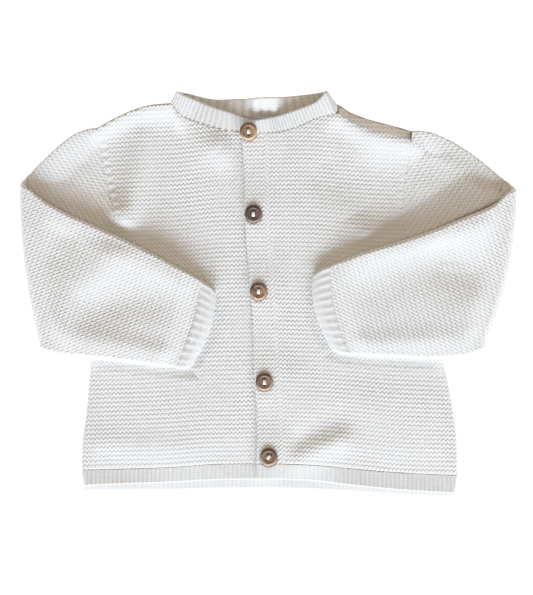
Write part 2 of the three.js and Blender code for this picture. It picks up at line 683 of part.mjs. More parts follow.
function sleeveGeometry(sleeve) {
  const armhole = sleeve.side < 0 ? sideRight : sideLeft;
  const armTop = sleeve.upper[0];
  const outer = [];
  const inner = [];
  for (const station of sleeveStations(sleeve)) {
    const width = Math.hypot(station.topOut - station.lowOut, station.topY - station.lowY);
    const plan = (distance) => {
      const w = distance / width;
      const y = lerp(station.topY, station.lowY, w);
      const straight = lerp(station.topOut, station.lowOut, w) - station.bow * 4 * w * (1 - w);
      const armY = lerp(armTop.topY, armTop.lowY, w);
      const armChord = lerp(armTop.topOut, armTop.lowOut, w);
      const armBow = sleeve.side * armhole(armY) + SEAM + ARMHOLE_EASE - armChord;
      return [straight + station.armhole ** 2 * armBow, y];
    };
    const liftAt = (distance) => {
      const [out, y] = plan(distance);
      return station.turn === 0 ? lift(sleeve.side * out, y) : 0;
    };
    const foreAt = (distance) => {
      if (station.along === undefined) return 0;
      const [out, y] = plan(distance);
      const w = distance / width;
      const middle = 4 * w * (1 - w);
      const ends = smooth(station.along, 0, 0.22) * lerp(1, 0.45, smooth(station.along, 0.85, 1));
      const folds = foldHeight(FORE_FOLDS, sleeve.side * out, y) * smooth(middle, 0.1, 0.6);
      return ends * (FORE_LIFT + FORE_CROWN * middle + folds);
    };
    const low = (distance) => -foreAt(distance);
    const high = (distance) => STACK + liftAt(distance);
    const foldX = (station.lowOut - station.topOut) / width;
    const foldY = (station.lowY - station.topY) / width;
    const outwardOut = -foldY;
    const outwardY = foldX;
    const place = ([distance, height]) => {
      const [out, y] = plan(distance);
      const radius = FOLD_HEIGHT - height;
      const swing = radius * Math.sin(station.turn);
      const z = FOLD_HEIGHT - radius * Math.cos(station.turn);
      return new THREE.Vector3(sleeve.side * (out + outwardOut * swing), y + outwardY * swing, z);
    };
    outer.push(flattenedRing(0, width, low, high).map(place));
    inner.push(flattenedRing(WALL, width - WALL, (d) => low(d) + WALL, (d) => high(d) - WALL)
      .map(place));
  }
  return tubeGeometry(outer, inner);
}

// A ribbed cuff: the same flattened tube with its ribs running along the sleeve.
function cuffGeometry(sleeve) {
  const POINTS_PER_RIB = 3;
  const around = CUFF_RIBS * POINTS_PER_RIB;
  const thickness = 2 * RIB_WALL + 0.8;
  const outer = [];
  const inner = [];
  const base = OVER_Z + RIB_RISE;
  for (const station of sleeve.cuff) {
    const width = Math.hypot(station.topOut - station.lowOut, station.topY - station.lowY);
    const radius = thickness / 2;
    const straight = width - 2 * radius;
    const perimeter = 2 * straight + 2 * Math.PI * radius;
    const section = (inset) => Array.from({ length: around }, (_, j) => {
      const rib = inset > 0 ? 0 : RIB_RISE * Math.max(0, Math.cos((2 * Math.PI * j) / POINTS_PER_RIB));
      const size = radius - inset + rib;
      const s = ((j + 0.5) / around) * perimeter;
      const turnLength = Math.PI * radius;
      if (s < straight) return [radius + s, size];
      if (s < straight + turnLength) {
        const angle = Math.PI / 2 - (s - straight) / radius;
        return [width - radius + size * Math.cos(angle), size * Math.sin(angle)];
      }
      if (s < 2 * straight + turnLength) return [width - radius - (s - straight - turnLength), -size];
      const angle = -Math.PI / 2 - (s - 2 * straight - turnLength) / radius;
      return [radius + size * Math.cos(angle), size * Math.sin(angle)];
    });
    const place = ([distance, height]) => {
      const w = clamp(distance / width, 0, 1);
      const out = lerp(station.topOut, station.lowOut, distance / width) - station.bow * 4 * w * (1 - w);
      const y = lerp(station.topY, station.lowY, distance / width);
      return new THREE.Vector3(sleeve.side * out, y, base + radius + height);
    };
    outer.push(section(0).map(place));
    inner.push(section(RIB_WALL).map(place));
  }
  return tubeGeometry(outer, inner);
}

// ---- Buttons ----

function asManifold(geometry) {
  const bare = geometry.clone();
  bare.deleteAttribute("normal");
  bare.deleteAttribute("uv");
  const merged = mergeVertices(bare, 1e-4);
  return new wasm.Manifold(new wasm.Mesh({
    numProp: 3,
    vertProperties: merged.attributes.position.array,
    triVerts: new Uint32Array(merged.index.array),
  }));
}

// A dished wooden disc with two thread holes, standing on z = 0.
function buttonGeometry() {
  const outline = [
    [0, 0],
    [BUTTON_RADIUS - 1.2, 0],
    [BUTTON_RADIUS, BUTTON_THICK * 0.45],
    [BUTTON_RADIUS - 0.3, BUTTON_THICK * 0.85],
    [BUTTON_RADIUS - BUTTON_RIM, BUTTON_THICK],
    [BUTTON_RADIUS - 2 * BUTTON_RIM, BUTTON_THICK - BUTTON_DISH],
    [0, BUTTON_THICK - BUTTON_DISH],
  ].map(([radius, height]) => new THREE.Vector2(radius, height));
  const disc = new THREE.LatheGeometry(outline, 20);
  disc.rotateX(Math.PI / 2);
  let solid = asManifold(disc);
  for (const sign of [-1, 1]) {
    const hole = new THREE.CylinderGeometry(BUTTON_HOLE, BUTTON_HOLE, 3 * BUTTON_THICK, 8);
    hole.rotateX(Math.PI / 2);
    hole.translate(0, sign * BUTTON_HOLE_SPREAD, 0);
    solid = solid.subtract(asManifold(hole));
  }
  const mesh = solid.getMesh();
  const geometry = new THREE.BufferGeometry();
  geometry.setAttribute("position", new THREE.BufferAttribute(mesh.vertProperties, 3));
  geometry.setIndex(new THREE.BufferAttribute(mesh.triVerts, 1));
  return geometry;
}

// ---- The cardigan ----

const GARTER = { color: 0xece5d8, roughness: 0.95, metalness: 0 };
const RIBBING = { color: 0xf0eadf, roughness: 0.95, metalness: 0 };
const WOOD = { color: 0x9c7a62, roughness: 0.5, metalness: 0 };

const group = new THREE.Group();

function add(name, geometry, finish) {
  geometry.computeVertexNormals();
  const mesh = new THREE.Mesh(geometry, new THREE.MeshStandardMaterial(finish));
  mesh.name = name;
  group.add(mesh);
  return mesh;
}

add("back", back(), GARTER);
add("front_right", frontRight(), GARTER);
add("front_left", frontLeft(), GARTER);
add("button_band", placketBand((y) => placketFree(y) + 1 + SEAM, (y) => placketSeam(y) - 1,
  FRONT_Z), GARTER);
add("buttonhole_band", placketBand(placketFree, (y) => placketSeam(y) - SEAM / 2, OVER_Z), GARTER);
add("hem_back", hemBand({ inner: sideRight, outer: sideLeft, low: hemBack, level: () => 0,
  ribbed: false, bottomRounded: true }), RIBBING);
add("hem_front_right", hemBand({ inner: (y) => placketSeam(y) - 1, outer: sideRight,
  low: hemFront, level: underLevel, ribbed: true, bottomRounded: false }), RIBBING);
add("hem_front_left", hemBand({ inner: placketFree, outer: sideLeft, low: hemFront,
  level: overLevel, ribbed: true, bottomRounded: false }), RIBBING);
add("neckband", neckbandGeometry(), RIBBING);
for (const sleeve of SLEEVES) {
  add(`sleeve_${sleeve.name}`, sleeveGeometry(sleeve), GARTER);
  add(`cuff_${sleeve.name}`, cuffGeometry(sleeve), RIBBING);
}
BUTTONS.forEach(({ x, y, turn }, index) => {
  const button = add(`button_${index + 1}`, buttonGeometry(), WOOD);
  button.position.set(x, y, OVER_Z + WALL + SEAM);
  button.rotation.z = THREE.MathUtils.degToRad(turn);
});

// The origin is on the table, under the middle of the cardigan's box.
const box = new THREE.Box3().setFromObject(group);
const centre = box.getCenter(new THREE.Vector3());
group.position.set(-centre.x, -centre.y, -box.min.z);

export default group;
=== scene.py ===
import math
from collections import namedtuple

import bpy
import numpy as np
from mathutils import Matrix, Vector


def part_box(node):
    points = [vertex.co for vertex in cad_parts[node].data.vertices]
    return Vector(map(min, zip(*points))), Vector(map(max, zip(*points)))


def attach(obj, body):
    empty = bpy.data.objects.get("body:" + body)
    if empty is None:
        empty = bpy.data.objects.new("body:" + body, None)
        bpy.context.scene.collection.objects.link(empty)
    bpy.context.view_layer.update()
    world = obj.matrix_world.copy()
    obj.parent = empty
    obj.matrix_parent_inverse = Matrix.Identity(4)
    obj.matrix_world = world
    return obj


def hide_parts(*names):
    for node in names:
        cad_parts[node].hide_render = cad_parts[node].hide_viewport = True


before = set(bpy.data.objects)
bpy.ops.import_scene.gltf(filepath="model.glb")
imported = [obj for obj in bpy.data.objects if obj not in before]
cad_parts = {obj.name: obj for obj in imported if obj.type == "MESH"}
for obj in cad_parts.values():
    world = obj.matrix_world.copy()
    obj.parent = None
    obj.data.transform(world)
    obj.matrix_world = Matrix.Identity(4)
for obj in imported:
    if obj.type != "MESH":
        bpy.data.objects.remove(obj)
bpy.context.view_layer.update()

# A baby's knitted cardigan laid flat. Lengths are millimetres on the table, +Y towards the neck,
# until place() turns them into metres in the model's frame. The wearer's right is at -X.

# ---- Cloth and yarn ----

TURN = 2 * math.pi
WALL = 2.6  # garter-stitch cloth
SEAM = 0.3
RIB_WALL = 2.0
EDGE_ROUND = 2.35
FRONT_Z = WALL + SEAM  # where a front lies, and where it laps over the other
OVER_Z = 2 * FRONT_Z
STACK = 2 * WALL + SEAM  # two layers of a folded tube
FOLD_HEIGHT = STACK + SEAM / 2

STITCH = 2.95  # width of a stitch
COLUMNS = 5  # lattice columns in a stitch
PHASES = np.array([0.0, 0.18, 0.36, 0.5, 0.64, 0.82])  # lattice rows in a ridge
RIDGES = 86  # on a panel's lattice
WAVE = 0.21  # how far a ridge swings from stitch to stitch, in ridges
GARTER_DEPTH = 0.46  # from the crests down to the valleys
BACK_DEPTH = 0.8  # the same under the back
SLANT = 0.14  # how much the stitches lean one way
RIGHT_RIDGE = 3.25  # a garter ridge and its valley, on each panel
LEFT_RIDGE = 3.18
LEFT_CENTRE = 60  # the middle of the left front's ridges
DASHES_IN = 3.2  # how far in from an armhole its paired stitches lie, and their pitch
DASH_PITCH = 6.0

NECK_RIB = 3.3
HEM_RIB = 3.1
HEM_COURSE = 2.1
RIB_COLUMNS = 8  # lattice columns in a rib
CUFF_RIBS = 24
CUFF_RIB_COLUMNS = 10
BAND_TALL = 12  # the neckband's width

KEYS_PER_MM = 2000  # vertices that round to one key are one
KEY_STEP = 4_000_037
SLEEVE_STEPS = 14  # rounds in which a sleeve's lattice settles

UNDERARM_Y = 4
HEM_Y = -130.0
PLACKET_RAMP = 14  # over this width the left front comes down from the placket
PRESSED_BESIDE = 9  # how far beside a forearm the fronts stay pressed down
BASE_LIFT = 0.9
SHOULDER_ROLL = (3.4, 2.9)  # how high the right and left shoulders roll up
ROLL_START = 1.5  # where below the shoulder a roll starts to fall, and over what width
ROLL_WIDTH = 9
ROLL_CENTRE = -10
SHOULDER_STRIP = 7.5  # how far the back comes forward over the left shoulder, and to where
WRAP_END = 104.0
BUTTON_PUFF = 0.7  # how far the band puffs up round a button
FORE_LIFT = 2.2  # how far a forearm's walls stand apart in their middle
RIM_AT = 0.015  # where across a forearm its upper rim is highest
HOLE_AT = 2.2  # a button's two holes are this far from its middle

# ---- Outlines, as the solids have them ----

SIDES = [  # y, right, left
    (-146, -133, 135.2), (-127, -135.4, 137.2), (-110, -135.2, 136.9), (-92, -132.9, 135.2),
    (-70, -130.7, 131.6), (-48, -129.2, 127), (-25, -127.1, 122.2), (4, -124.2, 116.9),
    (20, -117.6, 108), (40, -113.4, 101), (60, -112.8, 97.8), (78, -116.6, 98.8),
    (94, -120.2, 101.2), (122, -124.2, 105),
]
PLACKET = [  # y, free edge, seam
    (-145, -7.8, 10.6), (-122, -8.8, 9.8), (-88, -8.6, 8.8), (-52, -10.8, 6.9), (-16, -11.8, 4.6),
    (20, -14.6, 2.2), (49, -17, -0.4), (88, -17.8, -1.1), (128, -20.4, -1.6),
]
HEM = [  # x, start, front, back
    (-140, -126.6, -138.6, -142.2), (-107, -125.8, -137.2, -141.8), (-71, -124.6, -136, -141.4),
    (-35, -122.2, -134, -140.6), (0, -122, -133.6, -140.4), (28, -122.8, -134.6, -141),
    (59, -125.4, -138, -142.6), (90, -128.1, -141, -144.6), (121, -129.7, -143.2, -146.2),
    (140, -130.4, -143.8, -145.4),
]
RIGHT_NECK = -69.9
LEFT_NECK = 49.6
NECK_CENTRE = (RIGHT_NECK + LEFT_NECK) / 2
NECK_HALF = (LEFT_NECK - RIGHT_NECK) / 2
BACK_TOP = [  # x, y of the back's shoulder and neck seams
    (-140, 114), (-124.2, 121.4), (-111, 128.6), (-97, 134.8), (-84, 138.2), (RIGHT_NECK, 139.2),
    (-60, 133.6), (-38, 130.6), (-13, 129.8), (12, 130.4), (36, 133.4), (LEFT_NECK, 138.4),
    (59, 132.8), (76, 126.6), (90, 123), (105, 118.6), (120, 113),
]
FRONT_NECK = [  # x, y of the fronts' neck seam
    (RIGHT_NECK, 139.2), (-66.5, 132.4), (-56, 126.2), (-42, 121.8), (-25, 118.2), (-8, 116.6),
    (3, 117.2), (12, 118.6), (21, 121.2), (30, 125.4), (39, 128.8), (LEFT_NECK, 130.9),
]
NECKBAND = [  # x on the seam, x and y on the rim, and the layer that it lies in
    (-9.8, -13, 127.4, 1), (-25, -25.4, 131.8, 1), (-42, -38.6, 136, 1),
    (-56, -50.8, 140.8, 1), (-66, -60.6, 144.6, 1), (RIGHT_NECK, -65.6, 147.6, 0.5),
    (-60, -58.4, 146.4, 0), (-38, -36.9, 142, 0), (-13, -12.6, 142.8, 0),
    (12, 11.2, 144, 0), (36, 30.6, 146, 0), (LEFT_NECK, 41.6, 147.8, 0.5),
    (39.4, 34.6, 140.4, 1), (30, 25.4, 136.4, 1), (21, 16.2, 133.2, 1), (12, 8.2, 130.6, 1),
    (3, 0.4, 128.6, 2), (-8.3, -9.4, 126.8, 2), (-18.6, -18.2, 125.8, 2),
]

# Sleeves: topOut, topY, lowOut, lowY across the flattened tube, and its fold line; cuffs end with
# their bow.
SLEEVES = [
    dict(
        name="right", side=-1, fold_bow=3.8, ridge_angle=56.5, ridge=3.3,
        fold=(174.6, 82, 161.2, -32),
        upper=[(124.6, 122, 124.6, 4), (133.6, 120.2, 130.8, -2), (142.3, 116.2, 137, -8.5),
               (151, 109.8, 143.5, -15), (159.6, 101.8, 150, -21), (168.3, 93.6, 156, -27),
               (175.2, 86.6, 161, -34.5)],
        fore=[(174.6, 77.8, 161.2, -41), (160.5, 68.6, 151.5, -43.8), (140.4, 57.4, 135.5, -45.4),
              (115.3, 45.9, 118, -47.4), (90.8, 34.2, 100, -49.4), (69, 22.8, 84, -51.4),
              (49, 11.4, 69, -52.4)],
        cuff=[(48.4, 11, 68.4, -52.5, 3.4), (43, 7.6, 62.8, -53.3, 4.4),
              (37.8, 3.2, 57.6, -53.6, 5.2)],
    ),
    dict(
        name="left", side=1, fold_bow=5.6, ridge_angle=54.5, ridge=3.45,
        fold=(174.6, 80, 153.4, -32),
        upper=[(105.4, 119.6, 117.3, 4), (112, 119.4, 121, 0), (119, 118, 125, -4.2),
               (127.1, 114.8, 129, -8.5), (136, 110.4, 133, -12.6), (150, 101.2, 141, -21),
               (161.8, 91.8, 147.2, -26.5), (171.4, 84, 153.2, -34.5)],
        fore=[(174.6, 75.4, 153.4, -41), (160.8, 66.4, 145, -44.6), (141.8, 57.8, 129, -46.4),
              (116.6, 46.8, 112, -46.8), (91.6, 38.3, 95, -45.8), (68.6, 31.5, 78, -45.2),
              (46, 22.4, 61, -43.6)],
        cuff=[(45.4, 22, 60.4, -43.5, 5), (38.4, 19.4, 53.4, -42.6, 5.2),
              (31.8, 15, 46.8, -40.6, 5.2)],
    ),
]

# Folds of the cloth: x1, y1, x2, y2, width, rise at each end.
FRONT_FOLDS = [
    (-94, 112, -102, 55, 7, 1.2, 4.6), (-117, 76, -112, 60, 8, 0.3, 2.6),
    (-71, 112, -71, 50, 12, -1, -1.4), (-37, 107, -34, 104, 8, 2.2, 2), (-50, 80, -48, 40, 12, -0.4, -0.8),
    (79, 110, 88, 108, 10, 3, 2.6), (62, 58, 69, 45, 8, 0.6, 3.4), (42, 88, 46, 84, 10, -1.2, -1),
    (20, -121, 50, -106, 7, 3, 2.2), (24, -106, 54, -92, 9, -1, -0.6),
    (70, -77, 120, -75, 14, 0.4, 0.4), (14, -60, 18, -94, 8, 1, 1),
    (-72, -92, -60, -98, 28, 0.9, 0.9), (-120, -108, -60, -116, 8, 0.8, 0.6), (88, -88, 100, -96, 22, 1, 1),
]
SLEEVE_FOLDS = [
    (-132, 86, -126, 70, 9, 0.8, 0.8),
    (112, 104, 124, 104, 12, 1.5, 1.2), (112, 76, 108, 54, 9, 1.2, 1),
]
FORE_FOLDS = [
    (-102, 42, -152, -16, 10, 2.2, 1.5), (-150, 43, -156, 30, 9, -1.4, -1.2),
    (-84, -2, -130, -6, 11, -1.5, -2), (-76, 22, -66, 10, 10, 0.8, 0.6),
    (126, 24, 146, 20, 13, -2.6, -2.2), (92, 16, 80, 4, 12, -1.2, -1),
    (92, 44, 150, 58, 8, 1.6, 2), (150, -8, 110, -30, 9, 0.6, 0.5),
]
# How far a forearm stands up along its upper edge, by the fold and by the cuff, and its lower edge.
FORE_RIM = {-1: (0.2, 1.6, 1), 1: (2.6, 2.2, 1)}
# The cloth against a forearm's upper edge: places out along it, how far it rises and its reach.
PUSHED_UP = {
    -1: [(36, 1.6, 9), (50, 3.6, 9), (62, 5.4, 9), (82, 5.4, 12), (93, 4.6, 14), (104, 2.2, 7), (115, 2, 7),
         (125, 3, 20), (147, 3.2, 26), (158, 3, 22), (175, 1.2, 18)],
    1: [(36, 1.6, 9), (48, 3.4, 9), (56, 5.2, 9), (66, 3.6, 7), (77, 4, 9), (88, 5, 14), (99, 5.8, 19),
        (110, 6.4, 22), (120, 7.2, 26), (131, 7.8, 28), (142, 8.2, 30), (153, 8.2, 32), (175, 4, 20)],
}

BUTTONS = [  # x, y, turn in degrees
    (-14.5, 118.4, 8), (-10.9, 58.6, 0), (-7.2, 2.5, -4), (-2.9, -63, 0), (0.2, -117.4, -38),
]

# ---- Where the table's coordinates lie in the frame ----

low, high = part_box("button_3")
SHIFT = np.array([
    (low[0] + high[0]) / 2 * 1000 - BUTTONS[2][0],
    (low[1] + high[1]) / 2 * 1000 - BUTTONS[2][1],
    0.0,
])


def place(points):
    """Metres in the frame from millimetres on the table."""
    return (np.asarray(points, float) + SHIFT) / 1000


def add(name, data):
    thing = bpy.data.objects.new(name, data)
    bpy.context.scene.collection.objects.link(thing)
    return thing


# ---- Curves ----


class Track:
    """A smooth curve through pairs that never overshoots them."""

    def __init__(self, pairs):
        pairs = sorted(pairs)
        self.x = np.array([p[0] for p in pairs], float)
        self.y = np.array([p[1] for p in pairs], float)
        self.step = np.diff(self.x)
        rise = np.diff(self.y) / self.step
        self.slope = np.concatenate([[rise[0]], np.zeros(len(rise) - 1), [rise[-1]]])
        together = rise[:-1] * rise[1:] > 0
        mean = 2 * rise[:-1] * rise[1:] / np.where(together, rise[:-1] + rise[1:], 1)
        self.slope[1:-1] = np.where(together, mean, 0)

    def __call__(self, x):
        x = np.asarray(x, float)
        i = np.clip(np.searchsorted(self.x, x) - 1, 0, len(self.step) - 1)
        t = np.clip((x - self.x[i]) / self.step[i], 0, 1)
        start = self.y[i] * (1 + 2 * t) + self.slope[i] * self.step[i] * t
        end = self.y[i + 1] * (3 - 2 * t) - self.slope[i + 1] * self.step[i] * (1 - t)
        before = self.slope[0] * np.minimum(x - self.x[0], 0)
        after = self.slope[-1] * np.maximum(x - self.x[-1], 0)
        return start * (1 - t) ** 2 + end * t**2 + before + after


def column(rows, at, to):
    """One column of a table as a curve over another."""
    return Track([(row[at], row[to]) for row in rows])


def rows_at(rows, fraction):
    """Every column of a table, read at fractions of the way down it."""
    place_in = np.asarray(fraction) * (len(rows) - 1)
    return [Track(list(enumerate(values)))(place_in) for values in zip(*rows)]


def smooth(x, start, end):
    t = np.clip((np.asarray(x, float) - start) / (end - start), 0, 1)
    return t * t * (3 - 2 * t)


def lerp(a, b, t):
    return a + (b - a) * t


def bell(x, width, power=2):
    """1 at zero, falling away on both sides; a higher power gives a flatter top."""
    return np.exp(-((x / width) ** power))


def arch(w, height=1):
    """A bow from nothing at w = 0 to its height in the middle and nothing at w = 1."""
    return height * 4 * w * (1 - w)


def together(*coordinates):
    return np.stack(coordinates, axis=-1)


def fold_height(folds, x, y):
    height = np.zeros_like(x)
    for x1, y1, x2, y2, width, rise1, rise2 in folds:
        dx, dy = x2 - x1, y2 - y1
        along = np.clip(((x - x1) * dx + (y - y1) * dy) / (dx * dx + dy * dy), 0, 1)
        away = np.hypot(x - x1 - dx * along, y - y1 - dy * along)
        height += lerp(rise1, rise2, along) * np.exp(-0.5 * (away / width) ** 2)
    return height


def rounding(distance, radius):
    """Drop and lean of a rounded edge, at a distance in from it."""
    inset = np.clip(radius - distance, 0, radius)
    return radius - np.sqrt(radius**2 - inset**2), inset / radius


def upright(lean):
    """How much of a leaning surface's depth is measured straight up."""
    return np.sqrt(np.maximum(0.05, 1 - lean**2))


side_right, side_left = column(SIDES, 0, 1), column(SIDES, 0, 2)
placket_free, placket_seam = column(PLACKET, 0, 1), column(PLACKET, 0, 2)
hem_start, hem_front, hem_back = (column(HEM, 0, to) for to in (1, 2, 3))
back_top, front_neck = column(BACK_TOP, 0, 1), column(FRONT_NECK, 0, 1)


def front_top(x):
    inside = np.where(x >= LEFT_NECK, back_top(x) - SHOULDER_STRIP, front_neck(x))
    return np.where(x <= RIGHT_NECK, back_top(x), inside)


def covering(sleeve):
    """How far a point is outside a folded forearm and its cuff; below zero under it."""
    edges = sleeve["fore"] + sleeve["cuff"][1:]
    top_edge, low_edge = column(edges, 0, 1), column(edges, 2, 3)
    end = sleeve["cuff"][-1]

    def away(x, y):
        out = sleeve["side"] * x
        across = np.clip((y - end[1]) / (end[3] - end[1]), 0, 1)
        cuff_edge = lerp(end[0], end[2], across) - arch(across, end[4])
        return np.maximum(np.maximum(y - top_edge(out), low_edge(out) - y), cuff_edge - out)

    return away


covers = [covering(sleeve) for sleeve in SLEEVES]


def pushed_up(x, y):
    """How far the cloth beside a forearm's upper edge is pushed up against it."""
    height = np.zeros_like(x)
    for sleeve, cover in zip(SLEEVES, covers):
        places, rises, reaches = np.array(PUSHED_UP[sleeve["side"]]).T
        away, out = cover(x, y), sleeve["side"] * x
        fall = 1 - np.clip(away / np.interp(out, places, reaches), 0, 1)
        beside = smooth(y - column(sleeve["fore"], 0, 1)(out), -6, 2) * smooth(out, 24, 46)
        height += np.interp(out, places, rises) * beside * smooth(away, -4.2, -0.2) * fall**1.3
    return height


def lift(x, y):
    """How far the fronts rise clear of the back."""
    free = np.ones_like(x)
    for cover in covers:
        free = free * smooth(cover(x, y), 0, PRESSED_BESIDE)
    from_shoulder = np.maximum(front_top(x) - y - ROLL_START, 0)
    rolled = np.where(x < 0, *SHOULDER_ROLL) * bell(from_shoulder, ROLL_WIDTH)
    rolled = rolled * smooth(np.abs(x - ROLL_CENTRE), 44, 62)
    side = np.minimum(x - side_right(y), side_left(y) - x)
    seam = np.maximum(smooth(side, 0, 12), smooth(y, UNDERARM_Y - 8, UNDERARM_Y + 16))
    hem = smooth(y - hem_start(x), -2, 20)
    height = BASE_LIFT + fold_height(FRONT_FOLDS, x, y) + rolled
    return (np.maximum(0, height) * free + pushed_up(x, y)) * seam * lerp(0.6, 1, hem)


def round_buttons(x, y):
    """How far the band puffs up round each button."""
    height = np.zeros_like(x)
    for bx, by, _ in BUTTONS:
        radius = np.hypot(x - bx, y - by)
        height += smooth(radius, 6.2, 7.4) * np.exp(-0.5 * (np.maximum(radius - 7.6, 0) / 9) ** 2)
    return BUTTON_PUFF * height


def under_level(x, y):
    pressed = smooth(x, placket_free(y) - 12, placket_free(y) - 2)
    return FRONT_Z + lift(x, y) * (1 - pressed)


def over_level(x, y):
    raised = 1 - smooth(x, placket_seam(y) + 1, placket_seam(y) + PLACKET_RAMP)
    return lerp(FRONT_Z + lift(x, y), OVER_Z, raised) + round_buttons(x, y)


# ---- Knitting ----


def drift(x, y):
    """The slight unevenness of hand-held rows, in stitches and ridges."""
    stitches = 0.16 * np.sin(x / 19 + y / 31) + 0.1 * np.sin(y / 11 - x / 43)
    ridges = 0.07 * np.sin(x / 23 - y / 37) + 0.05 * np.sin(x / 9.7 + y / 53)
    return stitches, ridges


def lobe(t):
    return np.cos(np.clip(t, -1, 1) * math.pi / 2) ** 2


def garter(stitches, ridges):
    """Garter stitch: 1 on the crests of its purl bumps and 0 in the valleys between ridges."""
    wave = np.cos(TURN * stitches)
    phase = (ridges - WAVE * wave) % 1
    upper = (0.78 + 0.22 * wave) * lobe((phase - 0.63) / 0.29)
    lower = (0.78 - 0.22 * wave) * lobe((phase - 0.37) / 0.29)
    slant = 0.5 + 0.5 * np.cos(TURN * (ridges - stitches + 0.1))
    return lerp(np.maximum(upper, lower), slant, SLANT)


def ribbing(ribs, courses):
    """One by one rib: 1 along the middle of each rib's stitches and 0 between the ribs."""
    phase = (ribs + 0.5) % 1 - 0.5
    legs = np.abs(phase) * 1.3
    chain = 0.5 + 0.5 * np.cos(TURN * (courses + legs))
    return lobe(phase / 0.42) * (0.7 + 0.3 * chain)


# ---- Meshes ----


def grid_faces(first, rows, columns, wrap=False):
    """Corner indices of a lattice's cells, whose vertices start at first."""
    index = first + np.arange(rows * columns).reshape(rows, columns)
    if wrap:
        index = np.concatenate([index, index[:, :1]], axis=1)
    corners = (index[:-1, :-1], index[:-1, 1:], index[1:, 1:], index[1:, :-1])
    return np.stack([c.ravel() for c in corners], axis=1)


def strip_faces(a, b):
    """Cells between two rows of vertex indices."""
    return np.stack([a[:-1], a[1:], b[1:], b[:-1]], axis=1)


def merged(shape, hidden, rows, columns):
    """Each lattice vertex's stand-in: where the cloth is out of sight, one for each block."""
    keep = np.arange(shape[0] * shape[1])
    if hidden is None:
        return keep
    i = np.arange(shape[0])[:, None] // rows
    j = np.arange(shape[1])[None, :] // columns
    block = (i * (shape[1] // columns + 1) + j).ravel()
    gone = hidden.ravel()
    _, first, which = np.unique(block[gone], return_index=True, return_inverse=True)
    keep[gone] = np.flatnonzero(gone)[first][which]
    return keep


def make_piece(name, points, quads, knit, stand_in, material):
    """A closed mesh from lattice cells, with each vertex's place in the knitting as its UV."""
    keys = np.round(points * KEYS_PER_MM).astype(np.int64)
    keys = (keys[:, 0] * KEY_STEP + keys[:, 1]) * KEY_STEP + keys[:, 2]
    _, first, which = np.unique(keys[stand_in], return_index=True, return_inverse=True)
    corner = which[quads]
    triangles = np.concatenate([corner[:, [0, 1, 2]], corner[:, [0, 2, 3]]])
    a, b, c = triangles.T
    triangles = triangles[(a != b) & (b != c) & (a != c)]
    _, same, times = np.unique(np.sort(triangles, axis=1), axis=0, return_inverse=True,
                               return_counts=True)
    triangles = triangles[times[same.ravel()] == 1]
    used, triangles = np.unique(triangles, return_inverse=True)
    triangles = triangles.reshape(-1, 3)
    vertices, uv = points[stand_in][first][used], knit[stand_in][first][used]
    p, q, r = (vertices[triangles[:, k]] for k in range(3))
    if np.einsum("ij,ij->", p, np.cross(q, r)) < 0:
        triangles = triangles[:, ::-1]
    mesh = bpy.data.meshes.new(name)
    mesh.from_pydata(place(vertices), [], triangles, shade_flat=False)
    layer = mesh.uv_layers.new(name="knit")
    layer.data.foreach_set("uv", uv[triangles.ravel()].astype(np.float32).ravel())
    mesh.update(calc_edges=True)
    mesh.materials.append(material)
    piece = add(name, mesh)
    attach(piece, "root")
    return piece


def cloth(name, outer, inner, knit, material, hide_outer=None, hide_inner=None, closed=False,
          blocks=(14, 12)):
    """A sheet, or a tube open at both ends, from its two faces. What is out of sight is merged in
    blocks of rows and columns."""
    rows, columns = outer.shape[:2]
    count = rows * columns
    out = np.arange(count).reshape(rows, columns)
    if closed:
        out = np.concatenate([out, out[:, :1]], axis=1)
    within = out + count
    quads = [
        grid_faces(0, rows, columns, closed), grid_faces(count, rows, columns, closed)[:, ::-1],
        strip_faces(within[0], out[0]), strip_faces(out[-1], within[-1]),
    ]
    if not closed:
        quads += [strip_faces(out[:, 0], within[:, 0]), strip_faces(within[:, -1], out[:, -1])]
    points = np.concatenate([outer.reshape(-1, 3), inner.reshape(-1, 3)])
    stand_in = np.concatenate([
        merged((rows, columns), hide_outer, *blocks),
        count + merged((rows, columns), hide_inner, *blocks),
    ])
    knit = np.concatenate([knit.reshape(-1, 2)] * 2)
    return make_piece(name, points, np.concatenate(quads), knit, stand_in, material)


def sheet(name, x, y, top, bottom, across, up, material):
    return cloth(name, together(x, y, top), together(x, y, bottom), together(across, up), material)


# ---- Materials ----


